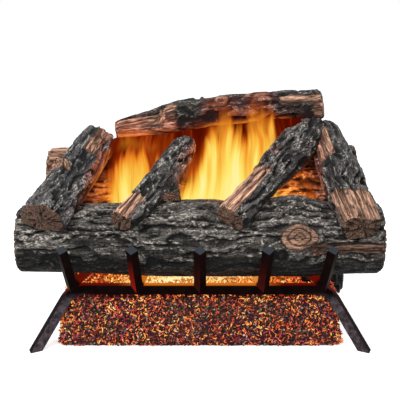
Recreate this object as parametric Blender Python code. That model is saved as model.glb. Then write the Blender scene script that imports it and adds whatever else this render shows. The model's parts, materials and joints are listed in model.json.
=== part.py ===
"""A vented gas log set: seven cast ceramic logs on a welded bar grate, over a burner
pan bedded in ember granules, with a manual safety valve at its right.

Metres, +Z up. X runs along the logs and the front faces -Y. The origin is the middle
of the burner pan's underside, on the hearth.
"""

import math
from dataclasses import dataclass

import bmesh
import bpy
import numpy as np
from mathutils import Vector

# Fits that the whole set shares
SEAT_GAP = 0.0003
NOTCH_GAP = 0.0005
RUNNING_GAP = 0.0004
OVERRUN = 0.003

# Grate: square bar, the runners laid on edge and let down over the two cross bars
BAR_SIDE = 0.015
BAR_TOP = 0.091
BAR_BEND_RADIUS = 0.030
FRONT_BAR_MARGIN = 0.017
FRONT_BAR_HALF_LENGTH = 0.209
REAR_BAR_MARGIN = 0.020
REAR_BAR_HALF_LENGTH = 0.188
LEG_SPLAY = 0.053
LEG_REACH = 0.058
RUNNER_SIDE = 0.014
RUNNER_NOTCH = 0.0065
RUNNER_FRONT_INSET = 0.004
RUNNER_REAR_INSET = 0.032
RUNNER_PLACE_SHARES = (-0.985, -0.485, 0, 0.485, 0.95)
RUNNER_REAR_OVERHANG = 0.016
PRONG_STEP = 0.019
PRONG_LENGTH = 0.084
PRONG_LEAN = math.radians(30)
PRONG_TO_LOG = 0.002

# Logs: radius is half the thickness across the log
LOG_GROOVE = 0.006
FRONT_LOG_RADIUS = 0.0655
FRONT_LOG_HALF_LENGTH = 0.298
FRONT_LOG_FLAT_SHARE = 0.95
REAR_LOG_RADIUS = 0.057
REAR_LOG_LEFT_X = -0.271
REAR_LOG_RIGHT_X = 0.279
REAR_LOG_RISE_SHARE = 1.73
REAR_LOG_FLAT_SHARE = 1.66
REAR_LOG_INSET = 0.015

LEFT_STACK_RADIUS = 0.037
LEFT_STACK_END_INSET = 0.049
LEFT_STACK_HIGH_X = -0.177
LEFT_STACK_FRONT_REACH = 0.058
LEFT_STACK_REAR_REACH = -0.018
LEFT_STACK_FRONT_RISE = 0.003
LEFT_STACK_REAR_RISE = 0.0145
LEFT_STACK_KNOT_RADIUS = 0.022
LEFT_STACK_KNOT_LENGTH = 0.046
LEFT_STACK_KNOT_SHARE = 0.58
LEFT_STACK_KNOT_WAY = (-0.50, -0.82, 0.28)

RIGHT_STACK_RADIUS = 0.038
RIGHT_STACK_END_INSET = 0.043
RIGHT_STACK_HIGH_X = 0.217
RIGHT_STACK_FRONT_REACH = 0.068
RIGHT_STACK_REAR_REACH = -0.010
RIGHT_STACK_FRONT_RISE = 0.005
RIGHT_STACK_REAR_RISE = 0.022

LEFT_REST_RADIUS = 0.026
LEFT_REST_LOW_X = -0.124
LEFT_REST_HIGH_X = -0.017
LEFT_REST_FRONT_REACH = 0.072
LEFT_REST_REAR_REACH = -0.020
LEFT_REST_FRONT_RISE = 0.015
LEFT_REST_REAR_RISE = 0.024
LEFT_REST_BOW_X = 0.010
LEFT_REST_BOW_Z = -0.006
LEFT_REST_FORK_RADIUS = 0.0185
LEFT_REST_FORK_LENGTH = 0.066
LEFT_REST_FORK_SHARE = 0.56
LEFT_REST_FORK_WAY = (0.08, -0.86, -0.50)

RIGHT_REST_RADIUS = 0.034
RIGHT_REST_LOW_X = 0.047
RIGHT_REST_HIGH_X = 0.200
RIGHT_REST_FRONT_REACH = 0.061
RIGHT_REST_REAR_REACH = -0.010
RIGHT_REST_FRONT_RISE = 0.014
RIGHT_REST_REAR_RISE = 0.030

TOP_LOG_RADIUS = 0.031
TOP_LOG_LEFT_X = -0.148
TOP_LOG_RIGHT_X = 0.214
TOP_LOG_LEFT_RISE = 0.021
TOP_LOG_RIGHT_RISE = 0.068
TOP_LOG_SETBACK = 0.016
TOP_LOG_BOW = 0.009

LOG_STATIONS = 27
LOG_SIDES = 28
LOG_END_ROUND = 0.006
LOG_END_SHARE = 0.90
LOG_LUMP_SHARE = 0.025
BARK_DEPTH_SHARE = 0.11
BARK_RIDGE_PAIRS = 4

# Burner pan, sand and embers
PAN_HALF_WIDTH = 0.172
PAN_HALF_DEPTH = 0.090
PAN_HEIGHT = 0.060
PAN_SHEET = 0.0015
BED_SIDE_BORDER = 0.057
BED_FRONT_BORDER = 0.058
BED_REAR_BORDER = 0.028
BED_COVER = 0.022
BED_FRONT_SLOPE = 0.066
BED_REAR_SLOPE = 0.030
BED_SIDE_SLOPE = 0.008
BED_CORNER = 0.014
BED_DIP = 0.003
BED_LUMP = 0.0035
BED_LONG_STEPS = 20
BED_SHORT_STEPS = 12

# Burner tubes
TUBE_RADIUS = 0.011
TUBE_WALL = 0.0015
TUBE_END_ROOM = 0.022
TUBE_SIDE_ROOM = 0.040
TUBE_DEPTH = 0.014
TUBE_CAP_LENGTH = 0.008
PORT_RADIUS = 0.0015
PORT_COUNT = 9
CROSSOVER_INSET = 0.038
CROSSOVER_RADIUS = 0.010
INLET_RADIUS = 0.009
INLET_CLEARANCE = 0.004
TUBE_BRACKET_SHEET = 0.002
TUBE_BRACKET_MARGIN = 0.020

# Gas control, beside the pan
CONTROL_Y = 0.002
CONTROL_HEIGHT = 0.0595
SHIELD_SHEET = 0.0012
SHIELD_HEIGHT = 0.0820
SHIELD_WIDTH = 0.054
SHIELD_FRONT_Y = -0.058
SHIELD_REAR_Y = 0.032
BRACKET_SHEET = 0.0015
BRACKET_SHELF_TOP = 0.0340
BRACKET_LENGTH = 0.0482
BRACKET_FRONT_Y = -0.054
BRACKET_REAR_Y = 0.026
VALVE_LENGTH = 0.036
VALVE_WIDTH = 0.036
VALVE_TOP = 0.0795
VALVE_BOSS_RADIUS = 0.0145
VALVE_BOSS_STANDOFF = 0.0025
VALVE_EDGE = 0.0015
PLUG_RADIUS = 0.0110
PLUG_LENGTH = 0.023
PLUG_RECESS = 0.001
STEM_RADIUS = 0.0040
KNOB_TRAVEL = 0.005
KNOB_SKIRT_RADIUS = 0.020
KNOB_SKIRT_LENGTH = 0.007
KNOB_GRIP_RADIUS = 0.0155
KNOB_LENGTH = 0.018
KNOB_EDGE = 0.0015
KNOB_WALL = 0.0085
KNOB_POINTER_WIDTH = 0.006
KNOB_POINTER_RISE = 0.002
IGNITER_Y = -0.037
IGNITER_RADIUS = 0.009
IGNITER_LENGTH = 0.034
IGNITER_FLANGE_RADIUS = 0.0125
IGNITER_FLANGE_LENGTH = 0.002
IGNITER_NOSE = 0.004
IGNITER_NUT_RADIUS = 0.0138
IGNITER_NUT_LENGTH = 0.0045
BUTTON_RADIUS = 0.0062
BUTTON_HEAD_RADIUS = 0.0078
BUTTON_HEAD_LENGTH = 0.004
BUTTON_TRAVEL = 0.006
BUTTON_CAVITY = 0.0155
BUTTON_EDGE = 0.0012

# Gas fittings, pilot and screws
ORIFICE_HEX_RADIUS = 0.0078
ORIFICE_HEX_LENGTH = 0.008
ORIFICE_NOSE_RADIUS = 0.0052
ORIFICE_NOSE_LENGTH = 0.021
ORIFICE_NOSE_BEVEL = 0.001
ORIFICE_BORE = 0.0012
INLET_HEX_RADIUS = 0.0105
INLET_HEX_LENGTH = 0.009
INLET_THREAD_RADIUS = 0.0078
INLET_THREAD_LENGTH = 0.020
INLET_FLARE = 0.0015
INLET_BORE = 0.0045
PILOT_HEIGHT = 0.054
PILOT_OFFSET = 0.0120
PILOT_TUBE_RADIUS = 0.0032
PILOT_NUT_RADIUS = 0.0052
PILOT_NUT_LENGTH = 0.007
PILOT_BRACKET_INSET = 0.030
PILOT_BRACKET_SHEET = 0.0015
PILOT_BRACKET_HALF_WIDTH = 0.024
PILOT_BRACKET_TOP = 0.0588
PILOT_HOOD_RADIUS = 0.0048
PILOT_HOOD_LENGTH = 0.012
PILOT_HOOD_WALL = 0.001
THERMOCOUPLE_RADIUS = 0.0018
THERMOCOUPLE_TIP_RADIUS = 0.0028
THERMOCOUPLE_TIP_LENGTH = 0.010
ELECTRODE_RADIUS = 0.0025
ELECTRODE_LENGTH = 0.022
ELECTRODE_OFFSET = 0.0195
SCREW_RADIUS = 0.0020
SCREW_HEAD_RADIUS = 0.0038
SCREW_HEAD_LENGTH = 0.0022
SCREW_LENGTH = 0.008
BRACKET_SCREW_HEIGHT = 0.040
BRACKET_SCREW_INSET = 0.010
VALVE_SCREW_SPREAD = 0.011

# Faceting of the turned pieces
ROUND_SIDES = 20
SMALL_SIDES = 12
SCREW_SIDES = 10
HEX_SIDES = 6
BORE_SIDES = 18
SMOOTH_ANGLE = math.radians(35)

# Heights and places that follow from the sizes above
FRONT_BAR_Y = -PAN_HALF_DEPTH - FRONT_BAR_MARGIN
REAR_BAR_Y = PAN_HALF_DEPTH + REAR_BAR_MARGIN
REAR_LOG_Y = REAR_BAR_Y - REAR_LOG_INSET
RUNNER_HALF_DIAGONAL = RUNNER_SIDE / math.sqrt(2)
RUNNER_FRONT_SPREAD = FRONT_BAR_HALF_LENGTH - RUNNER_FRONT_INSET
RUNNER_REAR_SPREAD = REAR_BAR_HALF_LENGTH - RUNNER_REAR_INSET
RUNNER_AXIS = BAR_TOP - RUNNER_NOTCH + RUNNER_HALF_DIAGONAL
RUNNER_RIDGE = RUNNER_AXIS + RUNNER_HALF_DIAGONAL
BAR_AXIS = BAR_TOP - BAR_SIDE / 2
LOG_UNDERSIDE = RUNNER_RIDGE - LOG_GROOVE
FRONT_LOG_Z = LOG_UNDERSIDE + FRONT_LOG_RADIUS * FRONT_LOG_FLAT_SHARE
FRONT_LOG_TOP = FRONT_LOG_Z + FRONT_LOG_RADIUS
REAR_LOG_Z = LOG_UNDERSIDE + REAR_LOG_RADIUS * REAR_LOG_FLAT_SHARE
REAR_LOG_TOP = REAR_LOG_Z + REAR_LOG_RADIUS * REAR_LOG_RISE_SHARE
BED_HALF_WIDTH = PAN_HALF_WIDTH + BED_SIDE_BORDER
BED_FRONT = PAN_HALF_DEPTH + BED_FRONT_BORDER
BED_REAR = PAN_HALF_DEPTH + BED_REAR_BORDER
BED_HEIGHT = PAN_HEIGHT + BED_COVER
TUBE_HALF_LENGTH = PAN_HALF_WIDTH - TUBE_END_ROOM
TUBE_SPREAD = PAN_HALF_DEPTH - TUBE_SIDE_ROOM
TUBE_HEIGHT = PAN_HEIGHT - TUBE_DEPTH
TUBE_BRACKET_X = TUBE_HALF_LENGTH / 2
TUBE_BRACKET_HALF_DEPTH = TUBE_SPREAD + TUBE_BRACKET_MARGIN
CROSSOVER_X = TUBE_HALF_LENGTH - CROSSOVER_INSET
PILOT_BRACKET_X = PAN_HALF_WIDTH - PILOT_BRACKET_INSET
BRACKET_WALL_X = PAN_HALF_WIDTH + SHIELD_SHEET + 2 * SEAT_GAP
BRACKET_PLATE_X = BRACKET_WALL_X + BRACKET_LENGTH
VALVE_LEFT_X = BRACKET_PLATE_X - BRACKET_SHEET - SEAT_GAP - VALVE_LENGTH
VALVE_BOTTOM = BRACKET_SHELF_TOP + SEAT_GAP
BRACKET_SCREW_FRONT_Y = BRACKET_FRONT_Y + BRACKET_SCREW_INSET
BRACKET_SCREW_REAR_Y = BRACKET_REAR_Y - BRACKET_SCREW_INSET
BOSS_END_X = BRACKET_PLATE_X + VALVE_BOSS_STANDOFF
CAVITY_FLOOR_X = BOSS_END_X - PLUG_RECESS - PLUG_LENGTH - SEAT_GAP
KNOB_BACK_X = BOSS_END_X + RUNNING_GAP + KNOB_TRAVEL
IGNITER_END_X = BRACKET_PLATE_X + IGNITER_FLANGE_LENGTH + IGNITER_NOSE
BUTTON_HEAD_X = IGNITER_END_X + RUNNING_GAP + BUTTON_TRAVEL

FINISHES = {
    "ceramic bark": ((0.050, 0.050, 0.052, 1.0), 0.92, 0.0),
    "black steel": ((0.012, 0.011, 0.012, 1.0), 0.55, 0.6),
    "galvanised sheet": ((0.300, 0.305, 0.310, 1.0), 0.45, 0.9),
    "bare tube": ((0.220, 0.215, 0.210, 1.0), 0.50, 0.9),
    "sand": ((0.420, 0.340, 0.240, 1.0), 0.95, 0.0),
    "embers": ((0.110, 0.045, 0.030, 1.0), 0.95, 0.0),
    "die-cast body": ((0.400, 0.400, 0.410, 1.0), 0.40, 0.9),
    "brass": ((0.550, 0.380, 0.130, 1.0), 0.30, 1.0),
    "black plastic": ((0.015, 0.015, 0.016, 1.0), 0.40, 0.0),
    "aluminium tube": ((0.550, 0.555, 0.560, 1.0), 0.35, 1.0),
    "copper lead": ((0.500, 0.210, 0.110, 1.0), 0.35, 1.0),
    "white ceramic": ((0.750, 0.740, 0.700, 1.0), 0.50, 0.0),
    "zinc screw": ((0.450, 0.450, 0.440, 1.0), 0.35, 1.0),
}


def clear_scene():
    for obj in list(bpy.data.objects):
        bpy.data.objects.remove(obj)


def material(finish):
    """The Principled material of a finish, made the first time that it is asked for."""
    found = bpy.data.materials.get(finish)
    if found:
        return found
    colour, roughness, metallic = FINISHES[finish]
    made = bpy.data.materials.new(finish)
    made.use_nodes = True
    shader = made.node_tree.nodes["Principled BSDF"]
    shader.inputs["Base Color"].default_value = colour
    shader.inputs["Roughness"].default_value = roughness
    shader.inputs["Metallic"].default_value = metallic
    return made


def add_solid(name, points, faces, finish, place=(0, 0, 0), axis=None):
    """A closed mesh object. Its points are local, with +Z along axis where one is given."""
    mesh = bpy.data.meshes.new(name)
    mesh.from_pydata([tuple(point) for point in points], [], faces)
    shape = bmesh.new()
    shape.from_mesh(mesh)
    bmesh.ops.recalc_face_normals(shape, faces=shape.faces)
    shape.to_mesh(mesh)
    shape.free()
    mesh.materials.append(material(finish))
    mesh.shade_smooth()
    mesh.set_sharp_from_angle(angle=SMOOTH_ANGLE)
    obj = bpy.data.objects.new(name, mesh)
    bpy.context.scene.collection.objects.link(obj)
    obj.location = place
    if axis is not None:
        obj.rotation_euler = axis
    return obj


# Turns that carry local +Z onto a world direction
ALONG_X = (0, math.pi / 2, 0)
ALONG_MINUS_X = (0, -math.pi / 2, 0)
ALONG_Y = (-math.pi / 2, 0, 0)
ALONG_Z = (0, 0, 0)


def band(first, second):
    """Faces between two rings of point numbers. A ring of one point is a tip."""
    if len(first) == 1:
        return [(first[0], second[k - 1], second[k]) for k in range(len(second))]
    if len(second) == 1:
        return [(first[k - 1], first[k], second[0]) for k in range(len(first))]
    return [
        (first[k - 1], first[k], second[k], second[k - 1]) for k in range(len(first))
    ]


def turned(name, profile, place, axis, finish, sides=ROUND_SIDES, bored=False):
    """A piece turned about its axis, from (distance along it, radius) pairs in order.
    A bored piece's pairs go right round its wall, and the loop is closed."""
    angles = np.arange(sides) * 2 * math.pi / sides
    circle = np.column_stack([np.cos(angles), np.sin(angles)])
    points = []
    rings = []
    for along, radius in profile:
        start = len(points)
        if radius == 0:
            points.append((0, 0, along))
        else:
            points += [(radius * x, radius * y, along) for x, y in circle]
        rings.append(range(start, len(points)))
    faces = []
    for first, second in zip(rings, rings[1:]):
        faces += band(first, second)
    if bored:
        faces += band(rings[-1], rings[0])
    return add_solid(name, points, faces, finish, place, axis)


def rod(name, radius, start, stop, place, axis, finish, sides=ROUND_SIDES):
    profile = [(start, 0), (start, radius), (stop, radius), (stop, 0)]
    return turned(name, profile, place, axis, finish, sides)


def tube(name, radius, bore, start, stop, place, axis, finish, sides=ROUND_SIDES):
    profile = [(start, bore), (start, radius), (stop, radius), (stop, bore)]
    return turned(name, profile, place, axis, finish, sides, bored=True)


def block(name, low, high, finish):
    """An upright box between two opposite corners."""
    ends = (low, high)
    points = [
        (ends[i][0], ends[j][1], ends[k][2])
        for i in (0, 1)
        for j in (0, 1)
        for k in (0, 1)
    ]
    faces = [
        (0, 1, 3, 2),
        (4, 5, 7, 6),
        (0, 1, 5, 4),
        (2, 3, 7, 6),
        (0, 2, 6, 4),
        (1, 3, 7, 5),
    ]
    return add_solid(name, points, faces, finish)


def combine(obj, helper, operation):
    """Adds or takes away a helper, which is then left out of the model."""
    helper.hide_render = True
    helper.display_type = "WIRE"
    modifier = obj.modifiers.new(f"{operation.lower()} {helper.name}", "BOOLEAN")
    modifier.operation = operation
    modifier.object = helper


def cut(obj, cutter):
    combine(obj, cutter, "DIFFERENCE")


def fuse(obj, helper):
    combine(obj, helper, "UNION")


# Grate


def slide_to_plane(points, direction, origin, normal):
    """Where lines from the points along direction meet a plane."""
    steps = (origin - points) @ normal / (direction @ normal)
    return points + steps[:, None] * direction


def mitred_bar(name, path, corners, first, end_normals, finish):
    """A bar of one section carried along a path, mitred at each bend. corners are the
    section's offsets from the path, on its leg number first."""
    path = np.array(path, float)
    legs = np.diff(path, axis=0)
    legs /= np.linalg.norm(legs, axis=1)[:, None]
    normals = [np.array(end_normals[0], float)]
    normals += [legs[k - 1] + legs[k] for k in range(1, len(legs))]
    normals.append(np.array(end_normals[1], float))
    rings = [None] * len(path)
    base = path[first] + np.array(corners, float)
    for k in range(first, -1, -1):
        base = slide_to_plane(base, legs[k], path[k], normals[k])
        rings[k] = base
    base = rings[first]
    for k in range(first + 1, len(path)):
        base = slide_to_plane(base, legs[k - 1], path[k], normals[k])
        rings[k] = base
    count = len(corners)
    numbers = [range(k * count, (k + 1) * count) for k in range(len(path))]
    faces = [tuple(numbers[0]), tuple(numbers[-1])]
    for near, far in zip(numbers, numbers[1:]):
        faces += band(near, far)
    return add_solid(name, np.concatenate(rings), faces, finish)


def rounded_corner(before, corner, after, radius, steps):
    """Points of an arc that rounds the corner of a path."""
    before, corner, after = (np.array(p, float) for p in (before, corner, after))
    inward = (corner - before) / np.linalg.norm(corner - before)
    outward = (after - corner) / np.linalg.norm(after - corner)
    turn = math.acos(inward @ outward)
    start = corner - inward * radius * math.tan(turn / 2)
    side = outward - inward * (outward @ inward)
    side /= np.linalg.norm(side)
    angles = [turn * k / steps for k in range(steps + 1)]
    return [
        start + radius * (inward * math.sin(a) + side * (1 - math.cos(a)))
        for a in angles
    ]


def cross_bar(name, y, half_length, reach, grow=0.0):
    """A cross bar whose two ends are bent down and out into the grate's legs."""
    half = BAR_SIDE / 2 + grow
    corners = [(0, -half, -half), (0, half, -half), (0, half, half), (0, -half, half)]
    bend_right = (half_length, y, BAR_AXIS)
    bend_left = (-half_length, y, BAR_AXIS)
    foot_right = (half_length + LEG_SPLAY, y + reach, 0)
    foot_left = (-half_length - LEG_SPLAY, y + reach, 0)
    left = rounded_corner(foot_left, bend_left, bend_right, BAR_BEND_RADIUS, 4)
    right = rounded_corner(bend_left, bend_right, foot_right, BAR_BEND_RADIUS, 4)
    path = [foot_left, *left, *right, foot_right]
    upright = (0, 0, 1)
    return mitred_bar(
        name, path, corners, len(left), (upright, upright), "black steel"
    )


def runner(name, place_share, grow=0.0):
    """A bar laid on edge from the rear to the front, bent up into a leaning prong."""
    front = np.array([place_share * RUNNER_FRONT_SPREAD, FRONT_BAR_Y, RUNNER_AXIS])
    rear = np.array([place_share * RUNNER_REAR_SPREAD, REAR_BAR_Y, RUNNER_AXIS])
    forward = (front - rear) / np.linalg.norm(front - rear)
    across = np.array([-forward[1], forward[0], 0])
    up = np.array([0, 0, 1])
    start = rear - forward * (RUNNER_REAR_OVERHANG + grow)
    bend = front + forward * PRONG_STEP
    rising = forward * math.sin(PRONG_LEAN) + up * math.cos(PRONG_LEAN)
    tip = bend + rising * (PRONG_LENGTH + grow)
    half = RUNNER_HALF_DIAGONAL + grow * math.sqrt(2)
    corners = [up * half, across * half, -up * half, -across * half]
    return mitred_bar(
        name, [start, bend, tip], corners, 0, (forward, rising), "black steel"
    )


def build_grate():
    cross_bar("grate_front_bar", FRONT_BAR_Y, FRONT_BAR_HALF_LENGTH, -LEG_REACH)
    cross_bar("grate_rear_bar", REAR_BAR_Y, REAR_BAR_HALF_LENGTH, LEG_REACH)
    front_notch = cross_bar(
        "front_bar_notch", FRONT_BAR_Y, FRONT_BAR_HALF_LENGTH, -LEG_REACH, SEAT_GAP
    )
    rear_notch = cross_bar(
        "rear_bar_notch", REAR_BAR_Y, REAR_BAR_HALF_LENGTH, LEG_REACH, SEAT_GAP
    )
    for number, place_share in enumerate(RUNNER_PLACE_SHARES, 1):
        bar = runner(f"grate_runner_{number}", place_share)
        cut(bar, front_notch)
        cut(bar, rear_notch)
    return front_notch


def front_log_y():
    """The front log lies back against the prongs, whose rear edges lean away from it."""
    ridge_y = FRONT_BAR_Y - PRONG_STEP
    back_edge = RUNNER_HALF_DIAGONAL + FRONT_LOG_RADIUS + PRONG_TO_LOG
    rise = FRONT_LOG_Z - RUNNER_AXIS
    return ridge_y + (back_edge - rise * math.sin(PRONG_LEAN)) / math.cos(PRONG_LEAN)


# Logs


@dataclass
class Log:
    """One cast log. Its section is an oval round the line from start to end, swollen
    by swell_shares at even steps, with flats where it was split or sits.

    A flat is (angle, depth share, from share, to share): a plane square to the angle,
    that many radii from the axis. Angles go from the top, 0, towards the side that
    faces the front on a log with its start at the left."""

    start: tuple
    end: tuple
    radius: float
    swell_shares: tuple
    bow: tuple = (0, 0, 0)
    rise_share: float = 1.0
    flats: tuple = ()
    start_slant: tuple = (0, 0)
    end_slant: tuple = (0, 0)
    phase: float = 0.0


def bark_depth(log, angles, shares):
    """How deep the bark is furrowed, 0 to 1. Furrows run along the log, wander, and are
    broken by hollows across them. The underside, which sits in moulds, has none."""
    wander = np.sin(11 * shares + log.phase) + 0.6 * np.sin(29 * shares - log.phase)
    furrows = 1 - np.abs(np.sin(BARK_RIDGE_PAIRS * angles + wander))
    hollows = 0.5 + 0.5 * np.sin(43 * shares + 3 * angles + 2 * log.phase)
    under = np.clip(1.5 + 2 * np.cos(angles), 0, 1)
    return (0.75 * furrows + 0.25 * hollows) * under


def log_rings(log, grow):
    """The log's rings of points, one row of rings for each station along it."""
    start = np.array(log.start, float)
    line = np.array(log.end, float) - start
    length = np.linalg.norm(line)
    line /= length
    round_share = LOG_END_ROUND / length
    inner = np.linspace(round_share, 1 - round_share, LOG_STATIONS)
    shares = np.concatenate([[0], inner, [1]])[:, None]
    angles = (np.arange(LOG_SIDES) * 2 * math.pi / LOG_SIDES)[None, :]
    even = np.linspace(0, 1, len(log.swell_shares))
    swell = np.interp(shares, even, log.swell_shares)
    oval = 1 / np.hypot(np.cos(angles) / log.rise_share, np.sin(angles))
    ripple = 0.3 * np.sin(2 * angles + 9 * shares + log.phase)
    ripple = ripple + 0.2 * np.sin(5 * angles - 17 * shares + 2 * log.phase)
    lump = LOG_LUMP_SHARE * (0.5 + ripple)
    lump = lump + BARK_DEPTH_SHARE * bark_depth(log, angles, shares)
    radius = log.radius * swell * oval * (1 - lump)
    for angle, depth_share, low, high in log.flats:
        facing = np.cos(angles - angle)
        plane = log.radius * depth_share / np.maximum(facing, 0.05)
        held = (facing > 0.05) & (shares >= low) & (shares <= high)
        radius = np.where(held, np.minimum(radius, plane), radius)
    radius = radius + grow
    radius[[0, -1]] *= LOG_END_SHARE
    up = np.array([0, 0, 1.0])
    up -= line * (up @ line)
    up /= np.linalg.norm(up)
    side = np.cross(line, up)
    rise = radius * np.cos(angles)
    reach = radius * np.sin(angles)
    lean = (1 - shares) * (log.start_slant[0] * rise + log.start_slant[1] * reach)
    lean = lean + shares * (log.end_slant[0] * rise + log.end_slant[1] * reach)
    along = (shares * length + lean)[..., None]
    along[0] -= grow
    along[-1] += grow
    bow = 4 * shares * (1 - shares)
    points = start + along * line + rise[..., None] * up + reach[..., None] * side
    return points + bow[..., None] * np.array(log.bow, float)


def split_in_two(faces):
    """Four-sided faces as pairs of triangles, so a log and its seat crease alike."""
    split = []
    for face in faces:
        split.append(face[:3])
        if len(face) == 4:
            split.append((face[0], face[2], face[3]))
    return split


def add_log(name, log, grow=0.0):
    rings = log_rings(log, grow)
    count = rings.shape[0]
    points = [rings[0].mean(axis=0), *rings.reshape(-1, 3), rings[-1].mean(axis=0)]
    numbers = [range(1 + k * LOG_SIDES, 1 + (k + 1) * LOG_SIDES) for k in range(count)]
    numbers = [[0], *numbers, [len(points) - 1]]
    faces = []
    for near, far in zip(numbers, numbers[1:]):
        faces += band(near, far)
    return add_solid(name, points, split_in_two(faces), "ceramic bark")


def leaning_log(low_x, high_x, front_reach, rear_reach, front_rise, rear_rise, **shape):
    """A log that lies across the front log and the rear log, with its axis the given
    rises above their tops. It passes them by its reaches."""
    front_y = front_log_y()
    slope = REAR_LOG_TOP + rear_rise - FRONT_LOG_TOP - front_rise
    slope /= REAR_LOG_Y - front_y
    low_y = front_y - front_reach
    high_y = REAR_LOG_Y + rear_reach
    low_z = FRONT_LOG_TOP + front_rise - slope * front_reach
    high_z = REAR_LOG_TOP + rear_rise + slope * rear_reach
    return Log(start=(low_x, low_y, low_z), end=(high_x, high_y, high_z), **shape)


def front_log():
    front_y = front_log_y()
    return Log(
        start=(-FRONT_LOG_HALF_LENGTH, front_y, FRONT_LOG_Z),
        end=(FRONT_LOG_HALF_LENGTH, front_y, FRONT_LOG_Z),
        radius=FRONT_LOG_RADIUS,
        swell_shares=(0.87, 0.88, 0.9, 0.92, 0.96, 0.99, 1.03, 1, 1, 1.22, 0.95, 0.92, 0.9),
        flats=((math.pi, FRONT_LOG_FLAT_SHARE, 0, 1), (2.44, 0.94, 0, 1)),
        phase=0.6,
    )


def rear_log():
    return Log(
        start=(REAR_LOG_LEFT_X, REAR_LOG_Y, REAR_LOG_Z),
        end=(REAR_LOG_RIGHT_X, REAR_LOG_Y, REAR_LOG_Z),
        radius=REAR_LOG_RADIUS,
        swell_shares=(0.97, 1.0, 1.0, 1.0, 1.0, 1.0, 0.97),
        rise_share=REAR_LOG_RISE_SHARE,
        flats=((math.pi, REAR_LOG_FLAT_SHARE, 0, 1),),
        phase=2.1,
    )


def left_stack_log():
    return leaning_log(
        LEFT_STACK_END_INSET - FRONT_LOG_HALF_LENGTH,
        LEFT_STACK_HIGH_X,
        LEFT_STACK_FRONT_REACH,
        LEFT_STACK_REAR_REACH,
        LEFT_STACK_FRONT_RISE,
        LEFT_STACK_REAR_RISE,
        radius=LEFT_STACK_RADIUS,
        swell_shares=(1.14, 1.06, 1.0, 0.98, 0.92),
        flats=((math.pi, 0.50, 0, 0.3),),
        phase=1.1,
    )


def right_stack_log():
    return leaning_log(
        FRONT_LOG_HALF_LENGTH - RIGHT_STACK_END_INSET,
        RIGHT_STACK_HIGH_X,
        RIGHT_STACK_FRONT_REACH,
        RIGHT_STACK_REAR_REACH,
        RIGHT_STACK_FRONT_RISE,
        RIGHT_STACK_REAR_RISE,
        radius=RIGHT_STACK_RADIUS,
        swell_shares=(0.92, 1.02, 1.0, 0.88, 0.80),
        flats=((0.15, 0.50, 0, 0.36),),
        phase=3.0,
    )


def left_rest_log():
    return leaning_log(
        LEFT_REST_LOW_X,
        LEFT_REST_HIGH_X,
        LEFT_REST_FRONT_REACH,
        LEFT_REST_REAR_REACH,
        LEFT_REST_FRONT_RISE,
        LEFT_REST_REAR_RISE,
        radius=LEFT_REST_RADIUS,
        swell_shares=(0.84, 0.95, 1.04, 1.12, 0.96, 0.66),
        bow=(LEFT_REST_BOW_X, 0, LEFT_REST_BOW_Z),
        flats=((0.5, 0.55, 0, 0.34),),
        phase=4.2,
    )


def right_rest_log():
    return leaning_log(
        RIGHT_REST_LOW_X,
        RIGHT_REST_HIGH_X,
        RIGHT_REST_FRONT_REACH,
        RIGHT_REST_REAR_REACH,
        RIGHT_REST_FRONT_RISE,
        RIGHT_REST_REAR_RISE,
        radius=RIGHT_REST_RADIUS,
        swell_shares=(0.84, 0.84, 0.84, 1.04, 1.06, 0.95),
        flats=((0.5, 0.52, 0, 0.42),),
        phase=5.3,
    )


def top_log():
    y = REAR_LOG_Y - TOP_LOG_SETBACK
    return Log(
        start=(TOP_LOG_LEFT_X, y, REAR_LOG_TOP + TOP_LOG_LEFT_RISE),
        end=(TOP_LOG_RIGHT_X, y, REAR_LOG_TOP + TOP_LOG_RIGHT_RISE),
        radius=TOP_LOG_RADIUS,
        swell_shares=(0.58, 0.68, 0.88, 1.06, 1.04, 0.98, 0.94, 0.92, 0.92, 0.9, 0.88),
        bow=(0, 0, TOP_LOG_BOW),
        flats=((0.9, 0.52, 0, 0.22),),
        phase=0.2,
    )


LOGS = {
    "front_log": front_log,
    "rear_log": rear_log,
    "top_log": top_log,
    "left_stack_log": left_stack_log,
    "left_rest_log": left_rest_log,
    "right_rest_log": right_rest_log,
    "right_stack_log": right_stack_log,
}

# Each log has notches moulded into it for the logs that it lies on or under
NOTCHED_FOR = {
    "top_log": ("rear_log",),
    "left_stack_log": ("front_log", "rear_log", "top_log"),
    "left_rest_log": ("front_log", "rear_log", "top_log"),
    "right_rest_log": ("front_log", "rear_log", "top_log"),
    "right_stack_log": ("front_log", "rear_log", "right_rest_log", "top_log"),
}


def branch_stub(name, log, share, direction, radius, length):
    """A cut branch that leaves a log at a share of its length."""
    line = np.array(log.end, float) - np.array(log.start, float)
    place = np.array(log.start, float) + line * share
    place += 4 * share * (1 - share) * np.array(log.bow, float)
    stub = rod(name, radius, 0, length, place, None, "ceramic bark", ROUND_SIDES)
    stub.rotation_euler = Vector(direction).to_track_quat("Z", "Y").to_euler()
    return stub


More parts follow.
